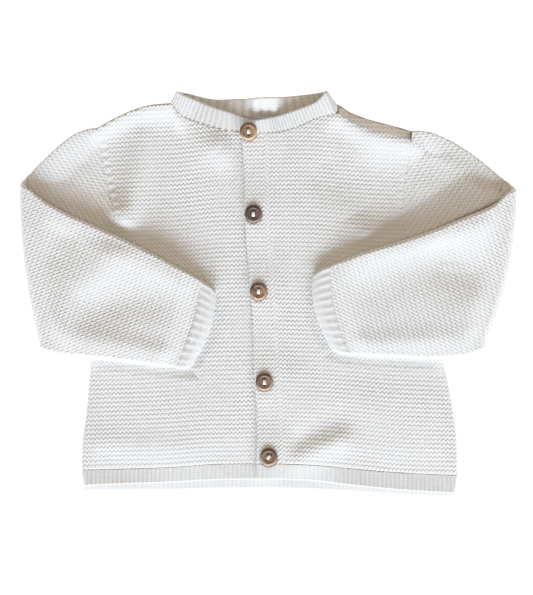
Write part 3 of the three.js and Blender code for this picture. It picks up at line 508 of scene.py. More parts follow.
class Nodes:
    """Short names for building a material's nodes."""

    def __init__(self, name):
        self.material = bpy.data.materials.new(name)
        self.material.use_nodes = True
        self.tree = self.material.node_tree
        self.tree.nodes.clear()
        self.shader = self.node("ShaderNodeBsdfPrincipled", {})
        self.node("ShaderNodeOutputMaterial", {"Surface": self.shader.outputs["BSDF"]})

    def give(self, made, inputs):
        """Links each input to a socket or sets it to a value."""
        for key, value in inputs.items():
            if isinstance(value, bpy.types.NodeSocket):
                self.tree.links.new(value, made.inputs[key])
            else:
                made.inputs[key].default_value = value

    def node(self, kind, inputs, **settings):
        made = self.tree.nodes.new(kind)
        for key, value in settings.items():
            setattr(made, key, value)
        self.give(made, inputs)
        return made

    def surface(self, **inputs):
        self.give(self.shader, {key.replace("_", " "): value for key, value in inputs.items()})

    def knit_uv(self):
        """The place in the knitting, whole and as its two counts."""
        uv = self.node("ShaderNodeUVMap", {}, uv_map="knit").outputs["UV"]
        parts = self.node("ShaderNodeSeparateXYZ", {0: uv}).outputs
        return uv, parts[0], parts[1]

    def where(self):
        return self.node("ShaderNodeTexCoord", {}).outputs["Object"]

    def math(self, operation, a, b=0.5, clamp=False):
        return self.node("ShaderNodeMath", {0: a, 1: b}, operation=operation, use_clamp=clamp).outputs[0]

    def times(self, a, b):
        return self.math("MULTIPLY", a, b)

    def plus(self, a, b, clamp=False):
        return self.math("ADD", a, b, clamp)

    def wave_size(self, wave, turn):
        """The size, from 0 to 1, of a wave at a turn counted in half waves."""
        return self.math("ABSOLUTE", self.math(wave, self.times(turn, math.pi)))

    def mix(self, factor, a, b, blend="MIX"):
        inputs = {0: factor, 6: a, 7: b}
        return self.node("ShaderNodeMix", inputs, data_type="RGBA", blend_type=blend).outputs[2]

    def noise(self, vector, scale, detail=2.0, roughness=0.5):
        inputs = {"Vector": vector, "Scale": scale, "Detail": detail, "Roughness": roughness}
        return self.node("ShaderNodeTexNoise", inputs).outputs["Fac"]

    def bump(self, height, distance, strength, **under):
        inputs = {"Height": height, "Distance": distance, "Strength": strength, **under}
        return self.node("ShaderNodeBump", inputs).outputs["Normal"]


def yarn_material(name, crest, valley, garter_stitch):
    """Soft matt yarn, with painted shade in the valleys between its ridges or ribs. The knitting's UV
    counts stitches across and ridges or courses up.
    """
    n = Nodes(name)
    _, across, up = n.knit_uv()
    where = n.where()
    if garter_stitch:
        wave = n.math("COSINE", n.times(across, TURN))
        phase = n.math("SUBTRACT", up, n.times(wave, WAVE))
        painted_shade = n.math("POWER", n.wave_size("COSINE", phase), 5.0)
    else:
        between = n.wave_size("SINE", across)
        chain = n.wave_size("COSINE", n.plus(up, n.times(between, 0.4)))
        painted_shade = n.plus(n.times(n.math("POWER", between, 5.0), 0.65),
                        n.times(n.math("POWER", chain, 4.0), 0.5), clamp=True)
    tone = n.times(n.noise(where, 38.0, 3.0, 0.6), 0.35)
    fleck = n.times(n.noise(where, 900.0, 2.0, 0.6), 0.25)
    # Painted shade: the hollows between the yarns are mixed from the crest colour towards the darker valley
    # colour.
    colour = n.mix(n.times(painted_shade, 0.75), crest, valley)
    colour = n.mix(tone, colour, (0.96, 0.95, 0.93, 1), "MULTIPLY")
    plies = n.plus(n.times(across, 5 * TURN), n.times(up, 3 * TURN))
    ply = n.bump(n.math("SINE", plies), 0.00008, 0.6)
    hairs = n.noise(where, 2600.0, 3.0, 0.7)
    n.surface(
        Base_Color=n.mix(fleck, colour, (0.93, 0.92, 0.9, 1), "MULTIPLY"),
        Normal=n.bump(hairs, 0.00025, 0.7, Normal=ply),
        Roughness=0.92, Specular_IOR_Level=0.2, Sheen_Weight=0.1, Sheen_Roughness=0.6,
    )
    return n.material


# Painted shade colour for the hollows between the yarns.
YARN_VALLEY_SHADE = (0.66, 0.64, 0.61, 1)
garter_yarn = yarn_material("garter_yarn", (0.9, 0.9, 0.895, 1), YARN_VALLEY_SHADE, True)
# The rib yarn's crest is painted a little darker than the garter's: painted shade standing in for the
# self-shadowing its shallower ribs lack.
rib_yarn = yarn_material("rib_yarn", (0.85, 0.85, 0.84, 1), YARN_VALLEY_SHADE, False)

# ---- Fronts and back ----

# A panel's outline, the roundness of its sides, and the middle and the pitch of its ridges.
Panel = namedtuple("Panel", "left right low high round_left round_right centre ridge")
EDGE_TURNS = np.radians([18, 40, 64, 90])  # lattice columns round an edge
SAMPLE_HEIGHTS = (-127, -60, 4, 60, 120)  # where a panel's width is measured
SETTLING_STEPS = 16  # rounds in which a lattice settles between its rows and its outline


def ridge_rows(first, last, phases):
    """The lattice's rows, some to each ridge."""
    return (np.arange(first, last)[:, None] + phases[None, :]).ravel()


def ridge_spread(x, centre):
    """How the ridges' pitch changes across a panel."""
    return 1 + 1.2e-4 * (x - centre)


def panel_lattice(panel, columns, phases):
    """Places on a panel, with rows along the ridges."""
    left, right, low, high, round_left, round_right, centre, ridge = panel
    start = math.floor(min(left(y) for y in SAMPLE_HEIGHTS) / STITCH) - 1
    stop = math.ceil(max(right(y) for y in SAMPLE_HEIGHTS) / STITCH) + 1
    even = np.arange(start * columns, stop * columns + 1) / columns * STITCH
    edge = len(EDGE_TURNS)
    kind = np.concatenate([np.full(edge, -1), np.zeros(len(even)), np.full(edge, 1)])
    inset_left = round_left * (1 - np.sin(EDGE_TURNS[::-1]))
    inset_right = round_right * (1 - np.sin(EDGE_TURNS))
    amount = np.concatenate([inset_left, even, inset_right])
    ridges, amounts = np.meshgrid(ridge_rows(0, RIDGES, phases), amount, indexing="ij")
    kinds = np.broadcast_to(kind, amounts.shape)

    def line(x, count):
        count = count + WAVE * np.cos(TURN * x / STITCH)
        return np.clip(hem_start(x) + count * ridge * ridge_spread(x, centre), low(x), high(x))

    def target(y):
        inner, outer = left(y), right(y)
        plain = np.clip(amounts, inner + round_left, outer - round_right)
        return np.where(kinds < 0, inner + amounts, np.where(kinds > 0, outer - amounts, plain))

    x = target(np.broadcast_to(ridges * ridge - 125.0, amounts.shape))
    for _ in range(SETTLING_STEPS):
        x = target(line(x, ridges))
    return x, line(x, ridges)


def knit_place(x, y, centre, ridge):
    """Stitches and ridges from the hem at a place on a panel."""
    stitches, ridges = drift(x, y)
    up = (y - hem_start(x)) / (ridge * ridge_spread(x, centre))
    return x / STITCH + stitches, up + ridges


def knit_depth(stitches, ridges):
    return GARTER_DEPTH * (1 - garter(stitches, ridges))


def inside(x, y, panel, margin=1.2):
    """True well inside a panel's outline."""
    across = np.minimum(x - panel.left(y), panel.right(y) - x)
    along = np.minimum(y - panel.low(x), panel.high(x) - y)
    return (across > margin) & (along > margin)


def rounded_sides(x, y, panel):
    """Drop and lean beside a panel's sides, which are flat where a sleeve is sewn to them."""
    unsewn = 1 - smooth(y, UNDERARM_Y, UNDERARM_Y + 6)
    free_left = unsewn if panel.left is side_right else 1
    free_right = unsewn if panel.right is side_left else 1
    drop_left, lean_left = rounding(x - panel.left(y), panel.round_left)
    drop_right, lean_right = rounding(panel.right(y) - x, panel.round_right)
    drop = np.maximum(drop_left * free_left, drop_right * free_right)
    return drop, lean_right * free_right - lean_left * free_left


def knit_front(name, panel, level, relief):
    x, y = panel_lattice(panel, COLUMNS, PHASES)
    drop, lean = rounded_sides(x, y, panel)
    if panel.left is side_right:
        shoulder, _ = rounding(panel.high(x) - y, 1.6)
        drop = np.maximum(drop, 1.2 * shoulder * (1 - smooth(x, RIGHT_NECK - 3, RIGHT_NECK)))
    stitches, ridges = knit_place(x, y, panel.centre, panel.ridge)
    depth = relief(x, y, ridges, knit_depth(stitches, ridges))
    bottom = level(x, y)
    top = np.maximum(bottom + WALL - drop - depth * upright(lean), bottom + 0.15)
    well_in = inside(x, y, panel)
    covered = well_in & (np.minimum(*(cover(x, y) for cover in covers)) < -4)
    return cloth(name, together(x - lean * depth, y, top), together(x, y, bottom),
                 together(stitches, ridges), garter_yarn, covered, well_in)


def armhole(x, y, edge, side, depth, strength):
    """The armhole's seam, and beside it the paired stitches where it was narrowed: bright dashes
    one above another."""
    away = x - edge(y)
    here = strength * bell(away + side * DASHES_IN, 2.3, 4)
    here = here * smooth(y, 57, 61) * (1 - smooth(y, 113, 117))
    slant = y + 0.15 * side * away - 61
    dashes = 0.3 - 0.45 * np.cos(TURN * slant / DASH_PITCH)
    seam = bell(away, 1.2) * smooth(y, UNDERARM_Y, UNDERARM_Y + 8)
    return lerp(depth, GARTER_DEPTH * dashes, here) + 0.4 * seam


def right_relief(x, y, ridges, depth):
    return armhole(x, y, side_right, -1, depth, 0.95)


def left_relief(x, y, ridges, depth):
    """The slipped column beside the band, and the armhole."""
    away = x - placket_seam(y)
    chain = GARTER_DEPTH * (0.5 - 0.4 * np.cos(TURN * ridges))
    groove = bell(np.abs(away) - 1.5, 0.5)
    depth = lerp(depth, chain, 0.7 * bell(away, 0.9, 4)) + 0.15 * groove
    return armhole(x, y, side_left, 1, depth, 0.45)


front_right = knit_front(
    "front_right_knit",
    Panel(side_right, lambda y: placket_free(y) + 1, lambda x: hem_start(x) - 0.1,
          lambda x: front_top(x) + 0.3 * (x > RIGHT_NECK), EDGE_ROUND, 0.6, -70, RIGHT_RIDGE),
    under_level, right_relief,
)
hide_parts("front_right", "button_band")
front_left = knit_front(
    "front_left_knit",
    Panel(placket_free, side_left, lambda x: hem_start(x) - 0.1, lambda x: front_top(x) + 0.3,
          1.3, EDGE_ROUND, LEFT_CENTRE, LEFT_RIDGE),
    over_level, left_relief,
)
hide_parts("front_left", "buttonhole_band")


def knit_back():
    """The back shows its outside below. The strip that turns forward over the left shoulder is made by
    shoulder_wrap.
    """
    panel = Panel(
        side_right, side_left, lambda x: hem_start(x) + SEAM,
        lambda x: back_top(x) - SEAM / 2 * (np.abs(x - NECK_CENTRE) < NECK_HALF - 0.05),
        EDGE_ROUND, EDGE_ROUND, 0, RIGHT_RIDGE,
    )
    x, y = panel_lattice(panel, 1, np.array([0.0, 0.3, 0.7]))
    drop, lean = rounded_sides(x, y, panel)
    drop_top, _ = rounding(panel.high(x) - y, EDGE_ROUND)
    beside_neck = smooth(np.abs(x - NECK_CENTRE), NECK_HALF, NECK_HALF + 3)
    drop = np.maximum(drop, drop_top * beside_neck)
    stitches, ridges = knit_place(x, y, panel.centre, panel.ridge)
    depth = BACK_DEPTH * (1 - garter(0.25, ridges))
    upper = together(x, y, np.full_like(x, WALL))
    lower = together(x - lean * depth, y, drop + depth * upright(lean))
    return cloth("back_knit", upper, lower, together(stitches, ridges), garter_yarn,
                 inside(x, y, panel), blocks=(9, 4))


back = knit_back()
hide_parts("back")


def shoulder_wrap():
    """The strip of the back that rolls forward over the left shoulder."""
    x_all = np.arange(LEFT_NECK + 1.0, WRAP_END, STITCH / COLUMNS)
    x, t = np.meshgrid(x_all, np.linspace(0, 1, 24), indexing="xy")
    low = back_top(x) - SHOULDER_STRIP - 1.2
    y = lerp(low, back_top(x), t)
    crest = 6.6 + lift(x, low) * 0.8
    roll = lerp((1 - t) ** 1.7, np.sqrt(np.maximum(0, 1 - t**3)), 0.35)
    lip, _ = rounding(t * SHOULDER_STRIP, 0.8)
    ends, _ = rounding(np.minimum(x - x_all[0], x_all[-1] - x), 1.5)
    ends = ends + 1.2 * smooth(x, WRAP_END - 12, WRAP_END) * (1 - t)
    stitches, ridges = knit_place(x, y, LEFT_CENTRE, LEFT_RIDGE)
    height = 1.2 + (crest - 1.2) * roll - lip - ends - knit_depth(stitches, ridges)
    height = np.maximum(height, 0.4)
    bottom = np.minimum(height - 0.3, WALL - 0.4)
    return sheet("shoulder_wrap_knit", x, y, height, bottom, stitches, ridges, garter_yarn)


wrap = shoulder_wrap()

# ---- Hems ----


def knit_hem(left, right, low, level, valley, side_rounds):
    """A hem's lattice, its top, how far its sides round down, and its ribs and courses."""
    count = int(abs(float(right(HEM_Y)) - float(left(HEM_Y))) / HEM_RIB * RIB_COLUMNS)
    rows = np.concatenate([[0, 0.02, 0.06, 0.12], np.linspace(0.2, 1, 13)])
    across, up = np.meshgrid(np.linspace(0, 1, count + 1), rows)
    y = np.full_like(across, HEM_Y)
    for _ in range(SETTLING_STEPS):
        x = lerp(left(y), right(y), across)
        y = lerp(low(x), hem_start(x) - SEAM / 2, up)
    height = y - low(x)
    ribs, courses = x / HEM_RIB, y / HEM_COURSE
    depth = valley * (1 - ribbing(ribs, courses)) * smooth(height, -0.3, 1.5)
    curled = 1 - 1.5 * bell(x - 26, 24, 4) - 0.8 * bell(x + 42, 44, 4)
    curl = 0.95 * curled * (1 - up) ** 1.2
    top = level(x, y) + RIB_WALL + 0.6 - rounding(height, 1.2)[0] - depth + curl
    drop = np.zeros_like(x)
    for radius, edge in zip(side_rounds, (x - left(y), right(y) - x)):
        drop = np.maximum(drop, rounding(edge, radius)[0])
    return x, y, top, drop, ribs, courses


def front_hem(name, left, right, level, side_rounds):
    x, y, top, drop, ribs, courses = knit_hem(left, right, hem_front, level, 0.65, side_rounds)
    bottom = level(x, y)
    top = np.maximum(top - drop, bottom + 0.2)
    return sheet(name, x, y, top, bottom, ribs, courses, rib_yarn)


hem_right = front_hem("hem_front_right_knit", side_right, lambda y: placket_seam(y) - 1,
                      under_level, (1.9, 0.3))
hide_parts("hem_front_right")
hem_left = front_hem("hem_front_left_knit", placket_free, side_left, over_level, (1.2, 1.9))
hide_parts("hem_front_left")


def back_hem():
    """The back's hem, with its outside below."""
    x, y, top, drop, ribs, courses = knit_hem(side_right, side_left, hem_back,
                                              lambda x, y: np.zeros_like(x), 0.8, (1.9, 1.9))
    below = np.clip(RIB_WALL + 0.6 - top + drop, 0, 2.2)
    edge, _ = rounding(y - hem_back(x), 1.0)
    above = WALL - 0.1 - edge * 0.6 - 0.25 * (1 - ribbing(ribs, courses))
    return sheet("hem_back_knit", x, y, above, below, ribs, courses, rib_yarn)


hem_behind = back_hem()
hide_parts("hem_back")

# ---- Neckband ----


def knit_neckband():
    """One strip of ribbing round the neck: over the fronts, down at each side, along the back."""
    sample = rows_at(NECKBAND, np.linspace(0, 1, 400))
    ribs = round(np.sum(np.hypot(np.diff(sample[1]), np.diff(sample[2]))) / NECK_RIB)
    t = np.linspace(0, 1, RIB_COLUMNS * ribs + 1)
    seam_x, rim_x, rim_y, layer = rows_at(NECKBAND, t)
    turned = smooth(layer, 0.38, 0.62)
    seam_y = lerp(back_top(seam_x), front_top(seam_x), turned) - 0.1
    v = np.concatenate([np.linspace(0, 0.8, 14), [0.87, 0.93, 0.97, 0.99, 1.0]])[:, None]
    behind = 1 - smooth(layer, 0, 0.6)
    middle = bell(seam_x + 3.5, 11, 4)
    first = np.arange(len(t)) < len(t) / 2
    front_z = np.where(first, under_level(seam_x, seam_y - 1), over_level(seam_x, seam_y - 1))
    start = lerp(lerp(3.2, 4.2, middle), front_z + WALL - RIB_WALL / 2 - 0.5, 1 - behind)
    rise = lerp(lerp(-1.2, 5.6, middle), np.where(first, 0.5, 1.5), 1 - behind)
    centre = together(lerp(seam_x, rim_x, v), lerp(seam_y, rim_y, v), start + rise * v)
    rising = np.broadcast_to((centre[-1] - centre[0])[None], centre.shape)
    outward = np.cross(rising, np.gradient(centre, axis=1))
    outward /= np.linalg.norm(outward, axis=-1, keepdims=True)
    facing = outward[..., 2:3]
    rim = rounding((1 - v) * BAND_TALL, 1.3)[0] / 1.3
    courses = v * 6.2 + 0 * t
    rib_number = t * ribs + 0.25 + 0 * v
    half = RIB_WALL / 2 * (1 - 0.75 * rim)
    relief = lerp(0.4, 1.0, behind) * ribbing(rib_number, courses) - 0.15
    relief = relief - 0.1 * bell(v * BAND_TALL, 0.9)

    def face(share, toward):
        thick = (half + relief * (1 - rim) * share)[..., None]
        return outward * thick * lerp(0.8, 1, smooth(toward, -0.2, 0.7))

    return cloth("neckband_knit", centre + face(0.9, facing), centre - face(0.6, -facing),
                 together(rib_number, courses), rib_yarn)


neckband = knit_neckband()
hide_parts("neckband")

# ---- Sleeves ----


class Sleeve:
    """A flattened knitted tube that is straight when unfolded. d is the distance beyond its fold
    line, a the distance up along it, and u and v run along and across the ridges."""

    ARC = math.pi * FOLD_HEIGHT

    def __init__(self, facts):
        self.facts = facts
        self.side = facts["side"]
        top, low = np.array(facts["fold"][:2]), np.array(facts["fold"][2:])
        self.origin = low
        self.length = np.linalg.norm(top - low)
        self.up = (top - low) / self.length
        self.away = np.array([self.up[1], -self.up[0]])
        turn = math.atan2(self.up[1], self.up[0]) - math.radians(facts["ridge_angle"])
        self.sin, self.cos = math.sin(turn), math.cos(turn)
        self.top_edge, self.low_edge = self.edge(0), self.edge(2)
        seam = side_right if self.side < 0 else side_left
        y = np.linspace(UNDERARM_Y - 1, facts["upper"][0][1] + 1, 60)
        u, v = self.rotated(*self.plan_to_fold(self.side * seam(y) - 0.4, y))
        self.arm = Track(list(zip(u, v)))
        w = np.linspace(-0.05, 1.05, 40)
        first = facts["cuff"][0]
        end = [lerp(a, b, 1.3) for a, b in zip(facts["fore"][-1], first)]
        out = lerp(end[0], end[2], w) - arch(w, first[4])
        u, v = self.rotated(*self.plan_to_fold(out, lerp(end[1], end[3], w), folded=True))
        self.cuff = Track(list(zip(u, v)))

    def edge(self, at):
        """An edge of the tube, from the armhole over the fold to the cuff."""
        found = [self.rotated(*self.plan_to_fold(row[at], row[at + 1], key == "fore"))
                 for key in ("upper", "fore") for row in self.facts[key]]
        return Track([(v, u) for u, v in found])

    def plan_to_fold(self, out, y, folded=False):
        """d and a of a place on the table, on the part before the fold or on the part folded over."""
        px, py = out - self.origin[0], y - self.origin[1]
        d = px * self.away[0] + py * self.away[1]
        return self.ARC - d if folded else d, px * self.up[0] + py * self.up[1]

    def rotated(self, a, b):
        """u and v from d and a, or d and a from u and v."""
        return a * self.sin + b * self.cos, a * self.cos - b * self.sin

    def plan(self, u, v):
        """Where a place on the tube lies, folded: beyond the fold line, along it and its turn."""
        d, a = self.rotated(u, v)
        turn = math.pi * np.clip(d / self.ARC, 0, 1)
        beyond = np.maximum(0, d - self.ARC)
        w = np.clip(a / self.length, 0, 1)
        from_fold = np.where(d < 0, -d, beyond)
        bulge = arch(w, self.facts["fold_bow"]) * bell(from_fold, 28)
        return np.where(d < 0, d, -beyond) + bulge, a, turn

    def on_table(self, shift, a):
        out = self.origin[0] + shift * self.away[0] + a * self.up[0]
        return self.side * out, self.origin[1] + shift * self.away[1] + a * self.up[1]

    def flat(self, u, v):
        """x and y on the table of the tube's middle."""
        shift, a, _ = self.plan(u, v)
        return self.on_table(shift, a)

    def point(self, u, v, height):
        shift, a, turn = self.plan(u, v)
        radius = FOLD_HEIGHT - height
        x, y = self.on_table(shift + radius * np.sin(turn), a)
        return together(x, y, FOLD_HEIGHT - radius * np.cos(turn))

    def fore(self, u, v):
        """How far the forearm's upper wall stands above its lower one, beyond the seam's gap."""
        start = (self.ARC - u * self.sin) / self.cos
        along = np.clip((v - start) / (self.cuff(u) - start), 0, 1)
        top, low = self.top_edge(v), self.low_edge(v)
        w = np.clip((top - u) / (top - low), 0, 1)
        ends = smooth(along, 0, 0.16) * lerp(1, 0.1, smooth(along, 0.86, 1))
        folds = fold_height(FORE_FOLDS, *self.flat(u, v)) * smooth(arch(w), 0.1, 0.6)
        by_fold, by_cuff, lower_rim = FORE_RIM[self.side]
        upper_rim = lerp(by_fold, by_cuff, smooth(along, 0.1, 0.6))
        rims = upper_rim * bell(w - RIM_AT, np.where(w < RIM_AT, 0.06, 0.2))
        rims = rims + lower_rim * bell(w - 0.85, 0.1)
        return ends * np.maximum(0.2, FORE_LIFT + rims + folds)

    def half(self, u, v):
        return (STACK + self.fore(u, v)) / 2


def knit_sleeve(facts):
    sleeve = Sleeve(facts)
    ridge = facts["ridge"]
    v_first, v_last = np.min(sleeve.arm(sleeve.arm.x)), np.max(sleeve.cuff(sleeve.cuff.x))
    ridges = ridge_rows(math.floor(v_first / ridge) - 1, math.ceil(v_last / ridge) + 1, PHASES)
    u_all = np.concatenate([sleeve.top_edge.y, sleeve.low_edge.y])
    even = np.arange(math.floor(u_all.min() / STITCH) * COLUMNS,
                     math.ceil(u_all.max() / STITCH) * COLUMNS + 1) / COLUMNS * STITCH
    edge = np.radians([-68, -45, -22, 0, 22, 45, 68])
    # Round the tube: the wall that faces down before the fold, the top edge, the other wall back,
    # and the underarm's edge.
    kind = np.repeat([0, 1, 2, 3], [len(even), len(edge)] * 2)
    amount = np.concatenate([even, edge, even[::-1], edge[::-1]])
    rows, amounts = np.meshgrid(ridges, amount, indexing="ij")
    kinds = np.broadcast_to(kind, amounts.shape)
    v = rows * ridge
    for _ in range(SLEEVE_STEPS):
        top, low = sleeve.top_edge(v), sleeve.low_edge(v)
        half_top, half_low = 0.55 * sleeve.half(top, v), 0.8 * sleeve.half(low, v)
        plain = np.clip(amounts, low + half_low, top - half_top)
        u = np.where(kinds == 1, top - half_top * (1 - np.cos(amounts)), plain)
        u = np.where(kinds == 3, low + half_low * (1 - np.cos(amounts)), u)
        wave = WAVE * np.cos(TURN * u / STITCH)
        v = np.clip((rows + wave) * ridge, sleeve.arm(u), sleeve.cuff(u))
    x, y = sleeve.flat(u, v)
    d, _ = sleeve.rotated(u, v)
    from_top, from_low = sleeve.top_edge(v) - u, u - sleeve.low_edge(v)
    from_arm, from_cuff = v - sleeve.arm(u), sleeve.cuff(u) - v
    puffed = (pushed_up(x, y) + fold_height(SLEEVE_FOLDS, x, y)) * smooth(from_top, 5, 18)
    at_shoulder = lift(x, y) * np.exp(-0.5 * (from_arm / 9) ** 2) * smooth(from_top, -1, 2)
    rolled = 2.6 * bell(np.maximum(from_top - 2, 0), 15) * smooth(-d, 2, 26)
    if facts["side"] > 0:
        rolled = rolled * (1 - smooth(x, 116, 134))
    raised = np.maximum(np.maximum(puffed, rolled), at_shoulder)
    raised = raised * smooth(from_low, 0, 9) * smooth(-d, 0, 15)
    floor_side, sky_side = -sleeve.fore(u, v), STACK + raised
    turned = np.select([kinds == 0, kinds == 2], [-math.pi / 2, math.pi / 2], amounts)
    height = (sky_side + floor_side) / 2 + (sky_side - floor_side) / 2 * np.sin(turned)
    outward_u = np.select([kinds == 1, kinds == 3], [np.cos(amounts), -np.cos(amounts)], 0)
    outward_h = np.sin(turned)
    drift_s, drift_r = drift(x * 0.9, y * 1.1 + 40)
    stitches, ridge_count = u / STITCH + drift_s * 0.7, v / ridge + drift_r
    depth = knit_depth(stitches, ridge_count) * lerp(0.85, 0.9, smooth(d, 0, Sleeve.ARC))
    depth = depth + 0.2 * bell(from_arm, 1.5)
    outer = sleeve.point(u - outward_u * depth, v, height - outward_h * depth)
    wall = WALL - 0.2
    inner_height = np.clip(height - outward_h * wall, floor_side + 2.4, sky_side - 2.4)
    inner = sleeve.point(u - outward_u * wall, v, inner_height)
    well_in = (from_arm > 1.2) & (from_cuff > 1.2)
    tucked = well_in & (kinds == 2) & (d > -6)
    piece = cloth(f"sleeve_{facts['name']}_knit", outer, inner, together(stitches, ridge_count),
                  garter_yarn, tucked, well_in, closed=True)
    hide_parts(f"sleeve_{facts['name']}")
    return piece


sleeves = [knit_sleeve(facts) for facts in SLEEVES]


def knit_cuff(facts):
    """A ribbed cuff: a flattened tube whose ribs run along the sleeve."""
    radius = RIB_WALL + 0.4
    centre_z = OVER_Z + 0.6 + radius
    t = np.linspace(0, 1, 22)[:, None]
    top_out, top_y, low_out, low_y, bow = rows_at(facts["cuff"], t)
    width = np.hypot(top_out - low_out, top_y - low_y)
    # Round the tube: the upper wall, the far edge, the lower wall and the near edge.
    straight, bend = width - 2 * radius, math.pi * radius
    j = (np.arange(CUFF_RIBS * CUFF_RIB_COLUMNS) + 0.5) / (CUFF_RIBS * CUFF_RIB_COLUMNS)
    s = j * (2 * straight + 2 * math.pi * radius)
    parts = [s < straight, s < straight + bend, s < 2 * straight + bend]
    ribs, courses = j * CUFF_RIBS + 0 * s, t * 7.5 + 0 * s
    rim = rounding((1 - t) * 11.5, 1.4)[0] / 1.4
    fade = smooth(t, -0.04, 0.12) * (1 - smooth(t, 0.35, 0.85))
    level = lerp(0.7, 1.25, smooth(t, 0, 0.2))
    relief = level - (1 - ribbing(ribs, courses)) * (0.1 + 0.2 * fade) - 0.5 * rim

    def section(inset, rise):
        size = radius - inset + rise
        far = math.pi / 2 - (s - straight) / radius
        near = -math.pi / 2 - (s - 2 * straight - bend) / radius
        distance = np.select(parts, [radius + s, width - radius + size * np.cos(far),
                                     width - radius - (s - straight - bend)],
                             radius + size * np.cos(near))
        height = np.select(parts, [size, size * np.sin(far), -size], size * np.sin(near))
        w = np.clip(distance / width, 0, 1)
        out = lerp(top_out, low_out, distance / width) - arch(w, bow)
        y = lerp(top_y, low_y, distance / width)
        return together(facts["side"] * out, y, centre_z + height + 0.5 * np.sin(math.pi * w))

    outer = section(0, relief - 0.7 - 1.2 * smooth(t, 0.5, 1))
    inner = section(RIB_WALL - 0.2, 0 * relief)
    piece = cloth(f"cuff_{facts['name']}_knit", outer, inner, together(ribs, courses), rib_yarn,
                  closed=True)
    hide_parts(f"cuff_{facts['name']}")
    return piece


cuffs = [knit_cuff(facts) for facts in SLEEVES]

# ---- Buttons ----


def wood_material(name, light, dark, grain_turn, stripes):
    """Polished wood, streaked along its grain, with painted shade towards one side of the face and painted
    darkness in the holes.
    """
    n = Nodes(name)
    face, across, up = n.knit_uv()
    turned = n.node("ShaderNodeVectorRotate", {"Vector": face, "Angle": math.radians(grain_turn)},
                    rotation_type="Z_AXIS").outputs[0]
    long = n.node("ShaderNodeMapping", {"Vector": turned, "Scale": (0.12, 1.0, 1.0)}).outputs[0]
    streaks = n.noise(long, 0.9, 4.0, 0.6)
    fine = n.noise(long, 5.0, 3.0, 0.6)
    ramp = n.node("ShaderNodeValToRGB", {"Fac": streaks})
    for stop, position, colour in zip(ramp.color_ramp.elements, (-stripes, stripes), (dark, light)):
        stop.position = 0.5 + position
        stop.color = (*colour, 1)
    colour = n.mix(n.times(fine, 0.55), ramp.outputs[0], (0.45, 0.36, 0.3, 1), "MULTIPLY")
    # Painted shade: the face is darkened towards its top and one side, which the light leaves in shade.
    shaded_side = n.plus(n.times(up, 0.13), n.times(across, -0.06))
    colour = n.mix(n.plus(shaded_side, 0.45, clamp=True), colour, (0.4, 0.33, 0.3, 1), "MULTIPLY")
    # Painted shade: the thread holes are coloured near black for the dark inside them.
    beside = n.math("SUBTRACT", n.math("ABSOLUTE", up), HOLE_AT)
    apart = n.math("SQRT", n.plus(n.math("POWER", across, 2.0), n.math("POWER", beside, 2.0)))
    hole = n.math("LESS_THAN", apart, 0.9)
    n.surface(
        Base_Color=n.mix(hole, colour, (0.03, 0.022, 0.018, 1)),
        Normal=n.bump(fine, 0.0001, 0.5),
        Roughness=n.plus(n.times(fine, 0.2), 0.38),
    )
    return n.material


WOODS = [  # name, light and dark colour, turn of the grain, softness of its streaks
    ("wood_tan", (0.72, 0.5, 0.32), (0.46, 0.3, 0.19), 20, 0.2),
    ("wood_dark", (0.27, 0.19, 0.16), (0.17, 0.12, 0.1), 60, 0.2),
    ("wood_striped", (0.68, 0.48, 0.32), (0.26, 0.15, 0.09), 55, 0.1),
    ("wood_middle", (0.52, 0.35, 0.24), (0.3, 0.19, 0.13), 10, 0.2),
    ("wood_last", (0.5, 0.34, 0.24), (0.28, 0.18, 0.13), 75, 0.2),
]


def thread_material():
    n = Nodes("button_thread")
    fibre = n.noise(n.where(), 3000.0)
    n.surface(
        Base_Color=n.mix(n.times(fibre, 0.3), (0.9, 0.89, 0.86, 1), (0.7, 0.68, 0.64, 1)),
        Normal=n.bump(fibre, 0.0001, 0.8),
        Roughness=0.8,
    )
    return n.material


thread_yarn = thread_material()
# Radius and height, from the middle of the face round to the middle of the back.
FLOOR_RADII = (0, 0.4, 0.8, 1.05, 1.25, 1.4, 1.6, 1.9, 2.2, 2.5)  # rings of the dish's flat middle
BUTTON_PROFILE = np.array([(radius, 2.1) for radius in FLOOR_RADII] + [
    (2.8, 2.12), (3, 2.13), (3.15, 2.15), (3.4, 2.2), (3.7, 2.32), (4, 2.55), (4.3, 2.8),
    (4.6, 2.95), (4.9, 3), (5.2, 2.93), (5.5, 2.76), (5.8, 2.46), (6.08, 2.05), (6.26, 1.6),
    (6.35, 1.1), (6.2, 0.7), (5.85, 0.35), (5.3, 0.08), (4.6, 0), (2.4, 0), (0, 0),
])
HOLLOW_RINGS = 14  # the profile's places that the holes cut into
HOLE_DEEP = 1.3
THINNED = 0.72  # the profile's heights are scaled by this
BUTTON_SIDES = 72
STRANDS = (-0.66, -0.22, 0.22, 0.66)
STRAND_ROUTE = [(-1.7, 0.4), (-1.6, 1.3), (-1.2, 1.9), (0, 2.1), (1.2, 1.9), (1.6, 1.3), (1.7, 0.4)]


def on_button(index, x, y):
    """Where a place on a button lies on the table, and how high the button starts."""
    x0, y0, turn = BUTTONS[index]
    cos, sin = math.cos(math.radians(turn)), math.sin(math.radians(turn))
    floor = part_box(f"button_{index + 1}")[0][2] * 1000
    return x0 + x * cos - y * sin, y0 + x * sin + y * cos, floor


